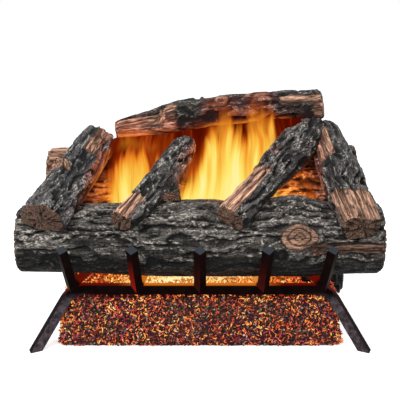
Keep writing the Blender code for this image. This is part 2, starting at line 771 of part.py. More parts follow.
def build_logs():
    nodes = {name: add_log(name, shape()) for name, shape in LOGS.items()}
    fork = branch_stub(
        "left_rest_fork",
        left_rest_log(),
        LEFT_REST_FORK_SHARE,
        LEFT_REST_FORK_WAY,
        LEFT_REST_FORK_RADIUS,
        LEFT_REST_FORK_LENGTH,
    )
    fuse(nodes["left_rest_log"], fork)
    knot = branch_stub(
        "left_stack_knot",
        left_stack_log(),
        LEFT_STACK_KNOT_SHARE,
        LEFT_STACK_KNOT_WAY,
        LEFT_STACK_KNOT_RADIUS,
        LEFT_STACK_KNOT_LENGTH,
    )
    fuse(nodes["left_stack_log"], knot)
    for number, place_share in enumerate(RUNNER_PLACE_SHARES, 1):
        groove = runner(f"groove_of_runner_{number}", place_share, SEAT_GAP)
        cut(nodes["front_log"], groove)
        cut(nodes["rear_log"], groove)
    seats = {}
    for below in ("front_log", "rear_log", "top_log", "right_rest_log"):
        seats[below] = add_log(f"seat_of_{below}", LOGS[below](), NOTCH_GAP)
    for name, neighbours in NOTCHED_FOR.items():
        for below in neighbours:
            cut(nodes[name], seats[below])


# Burner pan, sand and embers


def build_pan():
    high = (PAN_HALF_WIDTH, PAN_HALF_DEPTH, PAN_HEIGHT)
    low = (-PAN_HALF_WIDTH, -PAN_HALF_DEPTH, 0)
    pan = block("burner_pan", low, high, "black steel")
    inside_x = PAN_HALF_WIDTH - PAN_SHEET
    inside_y = PAN_HALF_DEPTH - PAN_SHEET
    low = (-inside_x, -inside_y, PAN_SHEET)
    high = (inside_x, inside_y, PAN_HEIGHT + OVERRUN)
    cut(pan, block("pan_hollow", low, high, "black steel"))
    return pan


def standing_strip(name, x, sheet, half_depth, top, grow=0.0, y=0.0):
    """An upright sheet strip across the pan, standing on its floor."""
    half = sheet / 2 + grow
    low = (x - half, y - half_depth - grow, PAN_SHEET + SEAT_GAP - grow)
    high = (x + half, y + half_depth + grow, top + grow)
    return block(name, low, high, "galvanised sheet")


def tube_bracket(name, x, grow=0.0):
    return standing_strip(
        name, x, TUBE_BRACKET_SHEET, TUBE_BRACKET_HALF_DEPTH, TUBE_HEIGHT, grow
    )


def pilot_plate(name, grow=0.0):
    return standing_strip(
        name,
        PILOT_BRACKET_X,
        PILOT_BRACKET_SHEET,
        PILOT_BRACKET_HALF_WIDTH,
        PILOT_BRACKET_TOP,
        grow,
        CONTROL_Y,
    )


def build_sand():
    """Sand up to the underside of the tubes' caps, round the strips that stand in it."""
    gap = PAN_SHEET + SEAT_GAP
    low = (gap - PAN_HALF_WIDTH, gap - PAN_HALF_DEPTH, gap)
    top = TUBE_HEIGHT - TUBE_RADIUS - TUBE_WALL - 2 * SEAT_GAP
    high = (PAN_HALF_WIDTH - gap, PAN_HALF_DEPTH - gap, top)
    sand = block("sand_fill", low, high, "sand")
    cut(sand, tube_bracket("left_bracket_slot", -TUBE_BRACKET_X, SEAT_GAP))
    cut(sand, tube_bracket("right_bracket_slot", TUBE_BRACKET_X, SEAT_GAP))
    cut(sand, pilot_plate("pilot_bracket_slot", SEAT_GAP))


def bed_outline(half_width, front, rear):
    """A rectangle with rounded corners, as points that run round it evenly."""
    corner_steps = 3
    side_steps = {"long": BED_LONG_STEPS, "short": BED_SHORT_STEPS}
    points = []
    corners = (
        (half_width - BED_CORNER, -front + BED_CORNER, -90, "short"),
        (half_width - BED_CORNER, rear - BED_CORNER, 0, "long"),
        (-half_width + BED_CORNER, rear - BED_CORNER, 90, "short"),
        (-half_width + BED_CORNER, -front + BED_CORNER, 180, "long"),
    )
    for index, (x, y, start, side) in enumerate(corners):
        for step in range(corner_steps + 1):
            angle = math.radians(start + 90 * step / corner_steps)
            points.append(
                (x + BED_CORNER * math.cos(angle), y + BED_CORNER * math.sin(angle))
            )
        ahead_x, ahead_y, ahead_start, _ = corners[(index + 1) % len(corners)]
        angle = math.radians(ahead_start)
        ahead = (
            ahead_x + BED_CORNER * math.cos(angle),
            ahead_y + BED_CORNER * math.sin(angle),
        )
        last = points[-1]
        for step in range(1, side_steps[side]):
            share = step / side_steps[side]
            points.append(
                (
                    last[0] + (ahead[0] - last[0]) * share,
                    last[1] + (ahead[1] - last[1]) * share,
                )
            )
    return np.array(points)


def build_bed(front_notch):
    """Ember granules heaped round the pan and over it, against the grate's front bar."""
    slope_shares = ((0, 0), (0.08, 0.24), (0.32, 0.55), (0.60, 0.87), (0.80, 0.98))
    rings = []
    for inset_share, rise_share in (*slope_shares, (1, 1)):
        outline = bed_outline(
            BED_HALF_WIDTH - BED_SIDE_SLOPE * inset_share,
            BED_FRONT - BED_FRONT_SLOPE * inset_share,
            BED_REAR - BED_REAR_SLOPE * inset_share,
        )
        height = np.full(len(outline), BED_HEIGHT * rise_share)
        heaped = 1 if 0 < rise_share < 1 else 0
        step = np.arange(len(outline))
        lump = 0.5 + 0.25 * np.sin(2.1 * step + 40 * rise_share)
        lump = heaped * BED_LUMP * (lump + 0.25 * np.sin(1.3 * step - 23 * rise_share))
        reach = np.hypot(outline[:, 0], outline[:, 1])
        outline = outline * (1 - lump / reach)[:, None]
        rings.append(np.column_stack([outline, height - lump]))
    count = len(rings[0])
    turn = np.arange(count) * 2 * math.pi / count
    for scale_share in (0.72, 0.40):
        ring = rings[-1] * [scale_share, scale_share, 1]
        ring[:, 2] -= BED_DIP * (0.5 + 0.5 * np.sin(9 * turn + scale_share))
        rings.append(ring)
    numbers = [range(k * count, (k + 1) * count) for k in range(len(rings))]
    points = np.concatenate([*rings, [[0, 0, BED_HEIGHT - BED_DIP]]])
    faces = []
    for outer, inner in zip(numbers, numbers[1:]):
        faces += band(outer, inner)
    faces += band(numbers[-1], [len(points) - 1])
    faces = [tuple(numbers[0]), *split_in_two(faces)]
    bed = add_solid("ember_bed", points, faces, "embers")
    low = (-PAN_HALF_WIDTH - SEAT_GAP, -PAN_HALF_DEPTH - SEAT_GAP, -OVERRUN)
    high = (PAN_HALF_WIDTH + SEAT_GAP, PAN_HALF_DEPTH + SEAT_GAP, PAN_HEIGHT + SEAT_GAP)
    cut(bed, block("bed_pan_pocket", low, high, "embers"))
    low = (PAN_HALF_WIDTH, SHIELD_FRONT_Y - SEAT_GAP, -OVERRUN)
    high = (BED_HALF_WIDTH + OVERRUN, BED_REAR + OVERRUN, BED_HEIGHT + OVERRUN)
    cut(bed, block("bed_valve_bay", low, high, "embers"))
    cut(bed, front_notch)


# Burner tubes


def tube_place(side):
    """The left end of the front (side -1) or rear (side 1) burner tube."""
    return (-TUBE_HALF_LENGTH, side * TUBE_SPREAD, TUBE_HEIGHT)


def burner_tube(name, side):
    """A steel tube with a row of gas ports along its top."""
    length = 2 * TUBE_HALF_LENGTH
    bore = TUBE_RADIUS - TUBE_WALL
    body = tube(
        name, TUBE_RADIUS, bore, 0, length, tube_place(side), ALONG_X, "bare tube"
    )
    pitch = length / (PORT_COUNT + 1)
    for number in range(PORT_COUNT):
        x = -TUBE_HALF_LENGTH + pitch * (number + 1)
        port = rod(
            f"{name}_port_{number}",
            PORT_RADIUS,
            0,
            TUBE_RADIUS + OVERRUN,
            (x, side * TUBE_SPREAD, TUBE_HEIGHT),
            ALONG_Z,
            "bare tube",
            HEX_SIDES,
        )
        cut(body, port)


def tube_cap(name, side, end):
    """A pressed cap over the left (end -1) or right (end 1) end of a burner tube."""
    inside = TUBE_RADIUS + SEAT_GAP
    outside = inside + TUBE_WALL
    floor = TUBE_WALL
    profile = [
        (0, 0),
        (0, outside),
        (TUBE_CAP_LENGTH, outside),
        (TUBE_CAP_LENGTH, inside),
        (floor, inside),
        (floor, 0),
    ]
    x = end * (TUBE_HALF_LENGTH + SEAT_GAP + floor)
    place = (x, side * TUBE_SPREAD, TUBE_HEIGHT)
    turn = ALONG_X if end < 0 else ALONG_MINUS_X
    turned(name, profile, place, turn, "bare tube")


def build_crossover(tube_seats):
    """The pipe that joins both burner tubes, with the inlet that the orifice enters."""
    place = (CROSSOVER_X, 0, TUBE_HEIGHT)
    reach = TUBE_SPREAD - TUBE_RADIUS / 4
    crossover = rod(
        "burner_crossover",
        CROSSOVER_RADIUS,
        -reach,
        reach,
        place,
        ALONG_Y,
        "bare tube",
    )
    inlet_place = (CROSSOVER_X, CONTROL_Y, TUBE_HEIGHT)
    inlet_length = PAN_HALF_WIDTH - PAN_SHEET - INLET_CLEARANCE - CROSSOVER_X
    inlet = rod(
        "crossover_inlet",
        INLET_RADIUS,
        0,
        inlet_length,
        inlet_place,
        ALONG_X,
        "bare tube",
        BORE_SIDES,
    )
    fuse(crossover, inlet)
    for seat in tube_seats:
        cut(crossover, seat)
    bore = rod(
        "crossover_bore",
        CROSSOVER_RADIUS - TUBE_WALL,
        -TUBE_SPREAD,
        TUBE_SPREAD,
        place,
        ALONG_Y,
        "bare tube",
        SMALL_SIDES,
    )
    cut(crossover, bore)
    mixer = rod(
        "crossover_inlet_bore",
        ORIFICE_NOSE_RADIUS + RUNNING_GAP,
        CROSSOVER_RADIUS / 2,
        inlet_length + OVERRUN,
        inlet_place,
        ALONG_X,
        "bare tube",
        SMALL_SIDES,
    )
    cut(crossover, mixer)


def build_burner():
    tube_seats = []
    for name, side in (("front", -1), ("rear", 1)):
        burner_tube(f"{name}_burner_tube", side)
        tube_cap(f"{name}_tube_left_cap", side, -1)
        tube_cap(f"{name}_tube_right_cap", side, 1)
        seat = rod(
            f"{name}_tube_seat",
            TUBE_RADIUS + SEAT_GAP,
            0,
            2 * TUBE_HALF_LENGTH,
            tube_place(side),
            ALONG_X,
            "bare tube",
        )
        tube_seats.append(seat)
    build_crossover(tube_seats)
    for name, x in (
        ("left_tube_bracket", -TUBE_BRACKET_X),
        ("right_tube_bracket", TUBE_BRACKET_X),
    ):
        bracket = tube_bracket(name, x)
        for seat in tube_seats:
            cut(bracket, seat)


# Gas control


def build_shield():
    """A corner of sheet that keeps the embers off the valve: front, left side and top."""
    x = PAN_HALF_WIDTH + SEAT_GAP
    far = x + SHIELD_WIDTH
    low = (x, SHIELD_FRONT_Y, 0)
    high = (far, SHIELD_REAR_Y, SHIELD_HEIGHT)
    shield = block("heat_shield", low, high, "black steel")
    low = (x + SHIELD_SHEET, SHIELD_FRONT_Y + SHIELD_SHEET, -OVERRUN)
    high = (far + OVERRUN, SHIELD_REAR_Y + OVERRUN, SHIELD_HEIGHT - SHIELD_SHEET)
    cut(shield, block("shield_hollow", low, high, "black steel"))
    return shield


def build_bracket():
    """A channel of sheet: screwed to the pan, with a shelf under the valve and a plate
    that the valve and the igniter look out through."""
    left = BRACKET_WALL_X
    right = BRACKET_PLATE_X
    floor = BRACKET_SHELF_TOP - BRACKET_SHEET
    outline = [
        (left, PAN_HEIGHT),
        (left, floor),
        (right, floor),
        (right, SHIELD_HEIGHT - SHIELD_SHEET - SEAT_GAP),
        (right - BRACKET_SHEET, SHIELD_HEIGHT - SHIELD_SHEET - SEAT_GAP),
        (right - BRACKET_SHEET, BRACKET_SHELF_TOP),
        (left + BRACKET_SHEET, BRACKET_SHELF_TOP),
        (left + BRACKET_SHEET, PAN_HEIGHT),
    ]
    count = len(outline)
    points = [(x, BRACKET_FRONT_Y, z) for x, z in outline]
    points += [(x, BRACKET_REAR_Y, z) for x, z in outline]
    near, far = range(count), range(count, 2 * count)
    faces = [tuple(near), tuple(far), *band(near, far)]
    bracket = add_solid("valve_bracket", points, faces, "galvanised sheet")
    for name, y, radius in (
        ("bracket_valve_hole", CONTROL_Y, VALVE_BOSS_RADIUS),
        ("bracket_igniter_hole", IGNITER_Y, IGNITER_RADIUS),
    ):
        place = (right - BRACKET_SHEET - OVERRUN, y, CONTROL_HEIGHT)
        stop = BRACKET_SHEET + 2 * OVERRUN
        cut(bracket, rod(name, radius + SEAT_GAP, 0, stop, place, ALONG_X, "brass"))
    return bracket


def build_valve():
    """The die-cast body, with the turning plug in its boss."""
    low = (VALVE_LEFT_X, CONTROL_Y - VALVE_WIDTH / 2, VALVE_BOTTOM)
    high = (VALVE_LEFT_X + VALVE_LENGTH, CONTROL_Y + VALVE_WIDTH / 2, VALVE_TOP)
    body = block("valve_body", low, high, "die-cast body")
    bevel = body.modifiers.new("cast edges", "BEVEL")
    bevel.width = VALVE_EDGE
    bevel.segments = 2
    boss_place = (VALVE_LEFT_X + VALVE_LENGTH / 2, CONTROL_Y, CONTROL_HEIGHT)
    boss = rod(
        "valve_boss",
        VALVE_BOSS_RADIUS,
        0,
        BOSS_END_X - boss_place[0],
        boss_place,
        ALONG_X,
        "die-cast body",
    )
    fuse(body, boss)
    floor_place = (CAVITY_FLOOR_X, CONTROL_Y, CONTROL_HEIGHT)
    depth = BOSS_END_X - CAVITY_FLOOR_X
    cavity = rod(
        "valve_cavity",
        PLUG_RADIUS + RUNNING_GAP,
        0,
        depth + OVERRUN,
        floor_place,
        ALONG_X,
        "die-cast body",
        BORE_SIDES,
    )
    cut(body, cavity)
    plug_place = (CAVITY_FLOOR_X + SEAT_GAP, CONTROL_Y, CONTROL_HEIGHT)
    tube(
        "valve_plug",
        PLUG_RADIUS,
        STEM_RADIUS + RUNNING_GAP,
        0,
        PLUG_LENGTH,
        plug_place,
        ALONG_X,
        "brass",
    )
    return body


def build_knob():
    """The black knob and the stem that it turns the plug by. Both slide in to light."""
    bore_depth = KNOB_LENGTH - KNOB_WALL
    edge = KNOB_EDGE
    profile = [
        (bore_depth, 0),
        (bore_depth, STEM_RADIUS + SEAT_GAP),
        (0, STEM_RADIUS + SEAT_GAP),
        (0, KNOB_SKIRT_RADIUS - edge),
        (edge, KNOB_SKIRT_RADIUS),
        (KNOB_SKIRT_LENGTH - edge, KNOB_SKIRT_RADIUS),
        (KNOB_SKIRT_LENGTH, KNOB_SKIRT_RADIUS - edge),
        (KNOB_SKIRT_LENGTH + edge, KNOB_GRIP_RADIUS),
        (KNOB_LENGTH - edge, KNOB_GRIP_RADIUS - edge / 2),
        (KNOB_LENGTH, KNOB_GRIP_RADIUS - 2 * edge),
        (KNOB_LENGTH, 0),
    ]
    place = (KNOB_BACK_X, CONTROL_Y, CONTROL_HEIGHT)
    knob = turned("control_knob", profile, place, ALONG_X, "black plastic")
    face_x = KNOB_BACK_X + KNOB_LENGTH
    half = KNOB_POINTER_WIDTH / 2
    low = (face_x - KNOB_WALL / 2, CONTROL_Y - half, CONTROL_HEIGHT)
    high = (
        face_x + KNOB_POINTER_RISE,
        CONTROL_Y + half,
        CONTROL_HEIGHT + KNOB_GRIP_RADIUS - 2 * edge,
    )
    fuse(knob, block("knob_pointer", low, high, "black plastic"))
    start_x = CAVITY_FLOOR_X + KNOB_TRAVEL + RUNNING_GAP
    length = KNOB_BACK_X + bore_depth - SEAT_GAP - start_x
    rod(
        "valve_stem",
        STEM_RADIUS,
        0,
        length,
        (start_x, CONTROL_Y, CONTROL_HEIGHT),
        ALONG_X,
        "zinc screw",
        SMALL_SIDES,
    )


def build_igniter():
    """A push-button spark igniter, held in the bracket's plate by a nut behind it."""
    flange_start = BRACKET_PLATE_X + SEAT_GAP - (IGNITER_END_X - IGNITER_LENGTH)
    flange_stop = flange_start + IGNITER_FLANGE_LENGTH
    cavity = BUTTON_RADIUS + RUNNING_GAP
    profile = [
        (0, 0),
        (0, IGNITER_RADIUS),
        (flange_start, IGNITER_RADIUS),
        (flange_start, IGNITER_FLANGE_RADIUS),
        (flange_stop, IGNITER_FLANGE_RADIUS),
        (flange_stop, IGNITER_RADIUS),
        (IGNITER_LENGTH, IGNITER_RADIUS),
        (IGNITER_LENGTH, cavity),
        (IGNITER_LENGTH - BUTTON_CAVITY, cavity),
        (IGNITER_LENGTH - BUTTON_CAVITY, 0),
    ]
    place = (IGNITER_END_X - IGNITER_LENGTH, IGNITER_Y, CONTROL_HEIGHT)
    turned("igniter_body", profile, place, ALONG_X, "black plastic")
    back_x = BRACKET_PLATE_X - BRACKET_SHEET - SEAT_GAP - IGNITER_NUT_LENGTH
    nut = rod(
        "igniter_nut",
        IGNITER_NUT_RADIUS,
        0,
        IGNITER_NUT_LENGTH,
        (back_x, IGNITER_Y, CONTROL_HEIGHT),
        ALONG_X,
        "zinc screw",
        HEX_SIDES,
    )
    hole = rod(
        "igniter_nut_bore",
        IGNITER_RADIUS + SEAT_GAP,
        -OVERRUN,
        IGNITER_NUT_LENGTH + OVERRUN,
        (back_x, IGNITER_Y, CONTROL_HEIGHT),
        ALONG_X,
        "zinc screw",
    )
    cut(nut, hole)
    stem_length = BUTTON_CAVITY
    crown = BUTTON_HEAD_RADIUS - BUTTON_EDGE
    profile = [
        (0, 0),
        (0, BUTTON_RADIUS),
        (stem_length, BUTTON_RADIUS),
        (stem_length, BUTTON_HEAD_RADIUS),
        (stem_length + BUTTON_HEAD_LENGTH - BUTTON_EDGE, BUTTON_HEAD_RADIUS),
        (stem_length + BUTTON_HEAD_LENGTH, crown),
        (stem_length + BUTTON_HEAD_LENGTH, 0),
    ]
    place = (BUTTON_HEAD_X - stem_length, IGNITER_Y, CONTROL_HEIGHT)
    turned("igniter_button", profile, place, ALONG_X, "black plastic")


# Gas fittings, pilot and screws


def hex_fitting(name, hex_size, thread_size, bore, place, axis, end_bevel=0.0):
    """A brass fitting: a hexagon at its start, then a round nose, bored through.
    hex_size and thread_size are (radius, length)."""
    hex_radius, hex_length = hex_size
    nose_radius, nose_length = thread_size
    fitting = rod(
        name, hex_radius, 0, hex_length, place, axis, "brass", sides=HEX_SIDES
    )
    stop = hex_length + nose_length
    profile = [
        (hex_length / 2, 0),
        (hex_length / 2, nose_radius),
        (stop - end_bevel, nose_radius),
        (stop, nose_radius - end_bevel),
        (stop, 0),
    ]
    nose = turned(f"{name}_nose", profile, place, axis, "brass")
    fuse(fitting, nose)
    drill = rod(
        f"{name}_bore",
        bore,
        -OVERRUN,
        stop + OVERRUN,
        place,
        axis,
        "brass",
        sides=SMALL_SIDES,
    )
    cut(fitting, drill)


def service_lines(pan, shield, bracket):
    """What runs from the valve through the walls into the pan, and the holes for it.
    Each line runs along -X, and is held at the valve by a fitting or a nut."""
    left_face = VALVE_LEFT_X - SEAT_GAP
    hex_fitting(
        "orifice_fitting",
        (ORIFICE_HEX_RADIUS, ORIFICE_HEX_LENGTH),
        (ORIFICE_NOSE_RADIUS, ORIFICE_NOSE_LENGTH),
        ORIFICE_BORE,
        (left_face, CONTROL_Y, TUBE_HEIGHT),
        ALONG_MINUS_X,
        ORIFICE_NOSE_BEVEL,
    )
    pilot_place = (left_face, CONTROL_Y + PILOT_OFFSET, PILOT_HEIGHT)
    reach = left_face - PILOT_BRACKET_X
    rod(
        "pilot_tube",
        PILOT_TUBE_RADIUS,
        0,
        reach,
        pilot_place,
        ALONG_MINUS_X,
        "aluminium tube",
        SMALL_SIDES,
    )
    probe_place = (left_face, CONTROL_Y - PILOT_OFFSET, PILOT_HEIGHT)
    tip_start = reach - THERMOCOUPLE_TIP_LENGTH / 2
    tip_stop = reach + THERMOCOUPLE_TIP_LENGTH
    profile = [
        (0, 0),
        (0, THERMOCOUPLE_RADIUS),
        (tip_start, THERMOCOUPLE_RADIUS),
        (tip_start, THERMOCOUPLE_TIP_RADIUS),
        (tip_stop, THERMOCOUPLE_TIP_RADIUS),
        (tip_stop, 0),
    ]
    turned(
        "thermocouple", profile, probe_place, ALONG_MINUS_X, "copper lead", SMALL_SIDES
    )
    for name, place, line_radius in (
        ("pilot_tube_nut", pilot_place, PILOT_TUBE_RADIUS),
        ("thermocouple_nut", probe_place, THERMOCOUPLE_RADIUS),
    ):
        nut = rod(
            name,
            PILOT_NUT_RADIUS,
            0,
            PILOT_NUT_LENGTH,
            place,
            ALONG_MINUS_X,
            "brass",
            HEX_SIDES,
        )
        hole = rod(
            f"{name}_bore",
            line_radius + SEAT_GAP,
            -OVERRUN,
            PILOT_NUT_LENGTH + OVERRUN,
            place,
            ALONG_MINUS_X,
            "brass",
            SMALL_SIDES,
        )
        cut(nut, hole)
    start = PAN_HALF_WIDTH - PAN_SHEET - OVERRUN
    length = BRACKET_WALL_X + BRACKET_SHEET + OVERRUN - start
    for name, y, z, radius in (
        ("orifice", CONTROL_Y, TUBE_HEIGHT, ORIFICE_NOSE_RADIUS),
        ("pilot", CONTROL_Y + PILOT_OFFSET, PILOT_HEIGHT, PILOT_TUBE_RADIUS),
        ("probe", CONTROL_Y - PILOT_OFFSET, PILOT_HEIGHT, THERMOCOUPLE_RADIUS),
        ("front_screw", BRACKET_SCREW_FRONT_Y, BRACKET_SCREW_HEIGHT, SCREW_RADIUS),
        ("rear_screw", BRACKET_SCREW_REAR_Y, BRACKET_SCREW_HEIGHT, SCREW_RADIUS),
    ):
        hole = rod(
            f"wall_hole_for_{name}",
            radius + SEAT_GAP,
            0,
            length,
            (start, y, z),
            ALONG_X,
            "black steel",
            SMALL_SIDES,
        )
        for wall in (pan, shield, bracket):
            cut(wall, hole)


def build_pilot():
    """The pilot burner, the thermocouple's tip and the electrode, on a plate of their own."""
    plate = pilot_plate("pilot_bracket")
    start = PILOT_BRACKET_X - PILOT_BRACKET_SHEET / 2 - OVERRUN
    length = PILOT_BRACKET_SHEET + 2 * OVERRUN
    electrode_y = CONTROL_Y + ELECTRODE_OFFSET
    for name, y, z, radius in (
        ("inlet", CONTROL_Y, TUBE_HEIGHT, INLET_RADIUS),
        ("pilot", CONTROL_Y + PILOT_OFFSET, PILOT_HEIGHT, PILOT_TUBE_RADIUS),
        ("probe", CONTROL_Y - PILOT_OFFSET, PILOT_HEIGHT, THERMOCOUPLE_TIP_RADIUS),
        ("electrode", electrode_y, PILOT_HEIGHT, ELECTRODE_RADIUS),
    ):
        hole = rod(
            f"pilot_plate_hole_for_{name}",
            radius + SEAT_GAP,
            0,
            length,
            (start, y, z),
            ALONG_X,
            "galvanised sheet",
            SMALL_SIDES,
        )
        cut(plate, hole)
    face_x = PILOT_BRACKET_X - PILOT_BRACKET_SHEET / 2 - SEAT_GAP
    mouth = PILOT_HOOD_RADIUS - PILOT_HOOD_WALL
    profile = [
        (0, 0),
        (0, PILOT_HOOD_RADIUS),
        (PILOT_HOOD_LENGTH, PILOT_HOOD_RADIUS),
        (PILOT_HOOD_LENGTH, mouth),
        (PILOT_HOOD_LENGTH / 2, mouth),
        (PILOT_HOOD_LENGTH / 2, 0),
    ]
    hood_place = (face_x, CONTROL_Y + PILOT_OFFSET, PILOT_HEIGHT)
    turned("pilot_burner", profile, hood_place, ALONG_MINUS_X, "brass", SMALL_SIDES)
    rod(
        "spark_electrode",
        ELECTRODE_RADIUS,
        -ELECTRODE_LENGTH / 2,
        ELECTRODE_LENGTH / 2,
        (PILOT_BRACKET_X, electrode_y, PILOT_HEIGHT),
        ALONG_X,
        "white ceramic",
        SMALL_SIDES,
    )


def screw(name, place, axis):
    """A pan-head screw. Its place is the underside of the head."""
    profile = [
        (-SCREW_HEAD_LENGTH, 0),
        (-SCREW_HEAD_LENGTH, SCREW_RADIUS),
        (-SCREW_HEAD_LENGTH / 2, SCREW_HEAD_RADIUS),
        (0, SCREW_HEAD_RADIUS),
        (0, SCREW_RADIUS),
        (SCREW_LENGTH, SCREW_RADIUS),
        (SCREW_LENGTH, 0),
    ]
    turned(name, profile, place, axis, "zinc screw", SCREW_SIDES)


def build_screws(valve, bracket):
    head_x = BRACKET_WALL_X + BRACKET_SHEET + SEAT_GAP
    for end, y in (("front", BRACKET_SCREW_FRONT_Y), ("rear", BRACKET_SCREW_REAR_Y)):
        place = (head_x, y, BRACKET_SCREW_HEIGHT)
        screw(f"bracket_screw_{end}", place, ALONG_MINUS_X)
    head_z = BRACKET_SHELF_TOP - BRACKET_SHEET - SEAT_GAP
    middle_x = VALVE_LEFT_X + VALVE_LENGTH / 2
    for end, side in (("left", -1), ("right", 1)):
        place = (middle_x + side * VALVE_SCREW_SPREAD, CONTROL_Y, head_z)
        screw(f"valve_screw_{end}", place, ALONG_Z)
        hole = rod(
            f"valve_screw_hole_{end}",
            SCREW_RADIUS + SEAT_GAP,
            0,
            SCREW_LENGTH + SEAT_GAP,
            place,
            ALONG_Z,
            "die-cast body",
            SCREW_SIDES,
        )
        cut(valve, hole)
        cut(bracket, hole)


def build_control(pan):
    shield = build_shield()
    bracket = build_bracket()
    valve = build_valve()
    build_knob()
    build_igniter()
    inlet_y = CONTROL_Y + VALVE_WIDTH / 2 + SEAT_GAP
    hex_fitting(
        "gas_inlet_fitting",
        (INLET_HEX_RADIUS, INLET_HEX_LENGTH),
        (INLET_THREAD_RADIUS, INLET_THREAD_LENGTH),
        INLET_BORE,
        (VALVE_LEFT_X + VALVE_LENGTH / 2, inlet_y, CONTROL_HEIGHT),
        ALONG_Y,
        INLET_FLARE,
    )
    service_lines(pan, shield, bracket)
    build_pilot()
    build_screws(valve, bracket)


def main():
    clear_scene()
    front_notch = build_grate()
    build_logs()
    pan = build_pan()
    build_sand()
    build_bed(front_notch)
    build_burner()
    build_control(pan)


main()
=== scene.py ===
"""The look of a gas log set: seven cast ceramic logs with bark and split faces,
glowing ember granules, gas flames, and better materials for the steel and the valve.

Metres, +Z up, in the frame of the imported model. The front faces -Y."""

import itertools
import json
import math

import bpy
import numpy as np
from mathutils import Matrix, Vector


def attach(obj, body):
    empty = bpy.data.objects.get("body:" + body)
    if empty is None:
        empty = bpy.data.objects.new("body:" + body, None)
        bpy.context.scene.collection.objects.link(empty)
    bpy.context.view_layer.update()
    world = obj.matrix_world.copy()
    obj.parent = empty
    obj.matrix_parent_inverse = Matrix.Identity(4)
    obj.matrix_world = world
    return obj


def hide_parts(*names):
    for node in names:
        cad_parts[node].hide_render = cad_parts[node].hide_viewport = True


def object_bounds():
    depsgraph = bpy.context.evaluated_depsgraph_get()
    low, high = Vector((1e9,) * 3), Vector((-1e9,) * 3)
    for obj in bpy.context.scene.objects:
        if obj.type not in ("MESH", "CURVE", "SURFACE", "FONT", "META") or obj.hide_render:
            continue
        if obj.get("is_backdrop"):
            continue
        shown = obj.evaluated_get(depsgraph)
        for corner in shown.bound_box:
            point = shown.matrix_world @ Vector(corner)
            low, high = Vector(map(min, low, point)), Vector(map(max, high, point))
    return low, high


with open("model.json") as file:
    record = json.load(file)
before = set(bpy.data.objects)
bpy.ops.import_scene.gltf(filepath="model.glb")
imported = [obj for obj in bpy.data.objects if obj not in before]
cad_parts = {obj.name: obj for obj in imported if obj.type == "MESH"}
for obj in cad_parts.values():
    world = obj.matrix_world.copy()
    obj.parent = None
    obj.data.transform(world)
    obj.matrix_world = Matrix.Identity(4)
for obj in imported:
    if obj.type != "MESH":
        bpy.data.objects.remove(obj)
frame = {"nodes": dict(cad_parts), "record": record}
cad_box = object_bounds()
BODY = "log_set"

# Camera: the photograph looks at the set from straight in front, 14 degrees down,
# from about 1.7 m, at a point a little over half its height.
CAMERA_TILT = math.radians(14.0)
CAMERA_DISTANCE = 1.683
CAMERA_LENS = 88.74
CAMERA_TARGET = Vector((0, 0, 0.206))
camera_data = bpy.data.cameras.new("camera")
camera_data.sensor_width = 36
camera_data.lens = CAMERA_LENS
camera = bpy.data.objects.new("camera", camera_data)
bpy.context.scene.collection.objects.link(camera)
look = Vector((0, math.cos(CAMERA_TILT), -math.sin(CAMERA_TILT)))
camera.location = CAMERA_TARGET - look * CAMERA_DISTANCE
camera.rotation_euler = look.to_track_quat("-Z", "Y").to_euler()
bpy.context.scene.camera = camera
bpy.context.scene.view_settings.view_transform = "Standard"


# Light and floor: large soft lamps in front on both sides and one behind, a dim sky that
# the camera sees as white, and a pale floor that runs out to white.
LAMP_TARGET = Vector((0, 0, 0.2))
SKY_LIGHT = 0.40
FLOOR_GLOW = 0.66


def area_light(name, place, size, power):
    """A square soft box at place, turned to the middle of the set."""
    data = bpy.data.lights.new(name, "AREA")
    data.size = size
    data.energy = power
    lamp = bpy.data.objects.new(name, data)
    lamp.location = place
    way = LAMP_TARGET - Vector(place)
    lamp.rotation_euler = way.to_track_quat("-Z", "Y").to_euler()
    bpy.context.scene.collection.objects.link(lamp)


area_light("key", (-0.9, -1.3, 1.6), 0.7, 28)
area_light("fill", (1.3, -1.1, 1.1), 1.1, 8)
area_light("rim", (0.3, 1.4, 1.3), 1.0, 9)


def background_rays(tree):
    """1 for a ray from the camera, or one that metal or glass sends on, so that these see
    the white background, and 0 for a ray that lights the object: the largest of three."""
    path = tree.nodes.new("ShaderNodeLightPath")
    largest = path.outputs["Is Camera Ray"]
    for kind in ("Is Glossy Ray", "Is Transmission Ray"):
        larger = tree.nodes.new("ShaderNodeMath")
        larger.operation = "MAXIMUM"
        tree.links.new(largest, larger.inputs[0])
        tree.links.new(path.outputs[kind], larger.inputs[1])
        largest = larger.outputs["Value"]
    return largest


world = bpy.data.worlds.new("studio")
bpy.context.scene.world = world
world.use_nodes = True
tree = world.node_tree
tree.nodes.clear()
output = tree.nodes.new("ShaderNodeOutputWorld")
seen = tree.nodes.new("ShaderNodeBackground")
seen.inputs["Color"].default_value = (1, 1, 1, 1)
lit = tree.nodes.new("ShaderNodeBackground")
lit.inputs["Color"].default_value = (0.95, 0.97, 1, 1)
lit.inputs["Strength"].default_value = SKY_LIGHT
mix = tree.nodes.new("ShaderNodeMixShader")
tree.links.new(background_rays(tree), mix.inputs[0])
tree.links.new(lit.outputs[0], mix.inputs[1])
tree.links.new(seen.outputs[0], mix.inputs[2])
tree.links.new(mix.outputs[0], output.inputs[0])

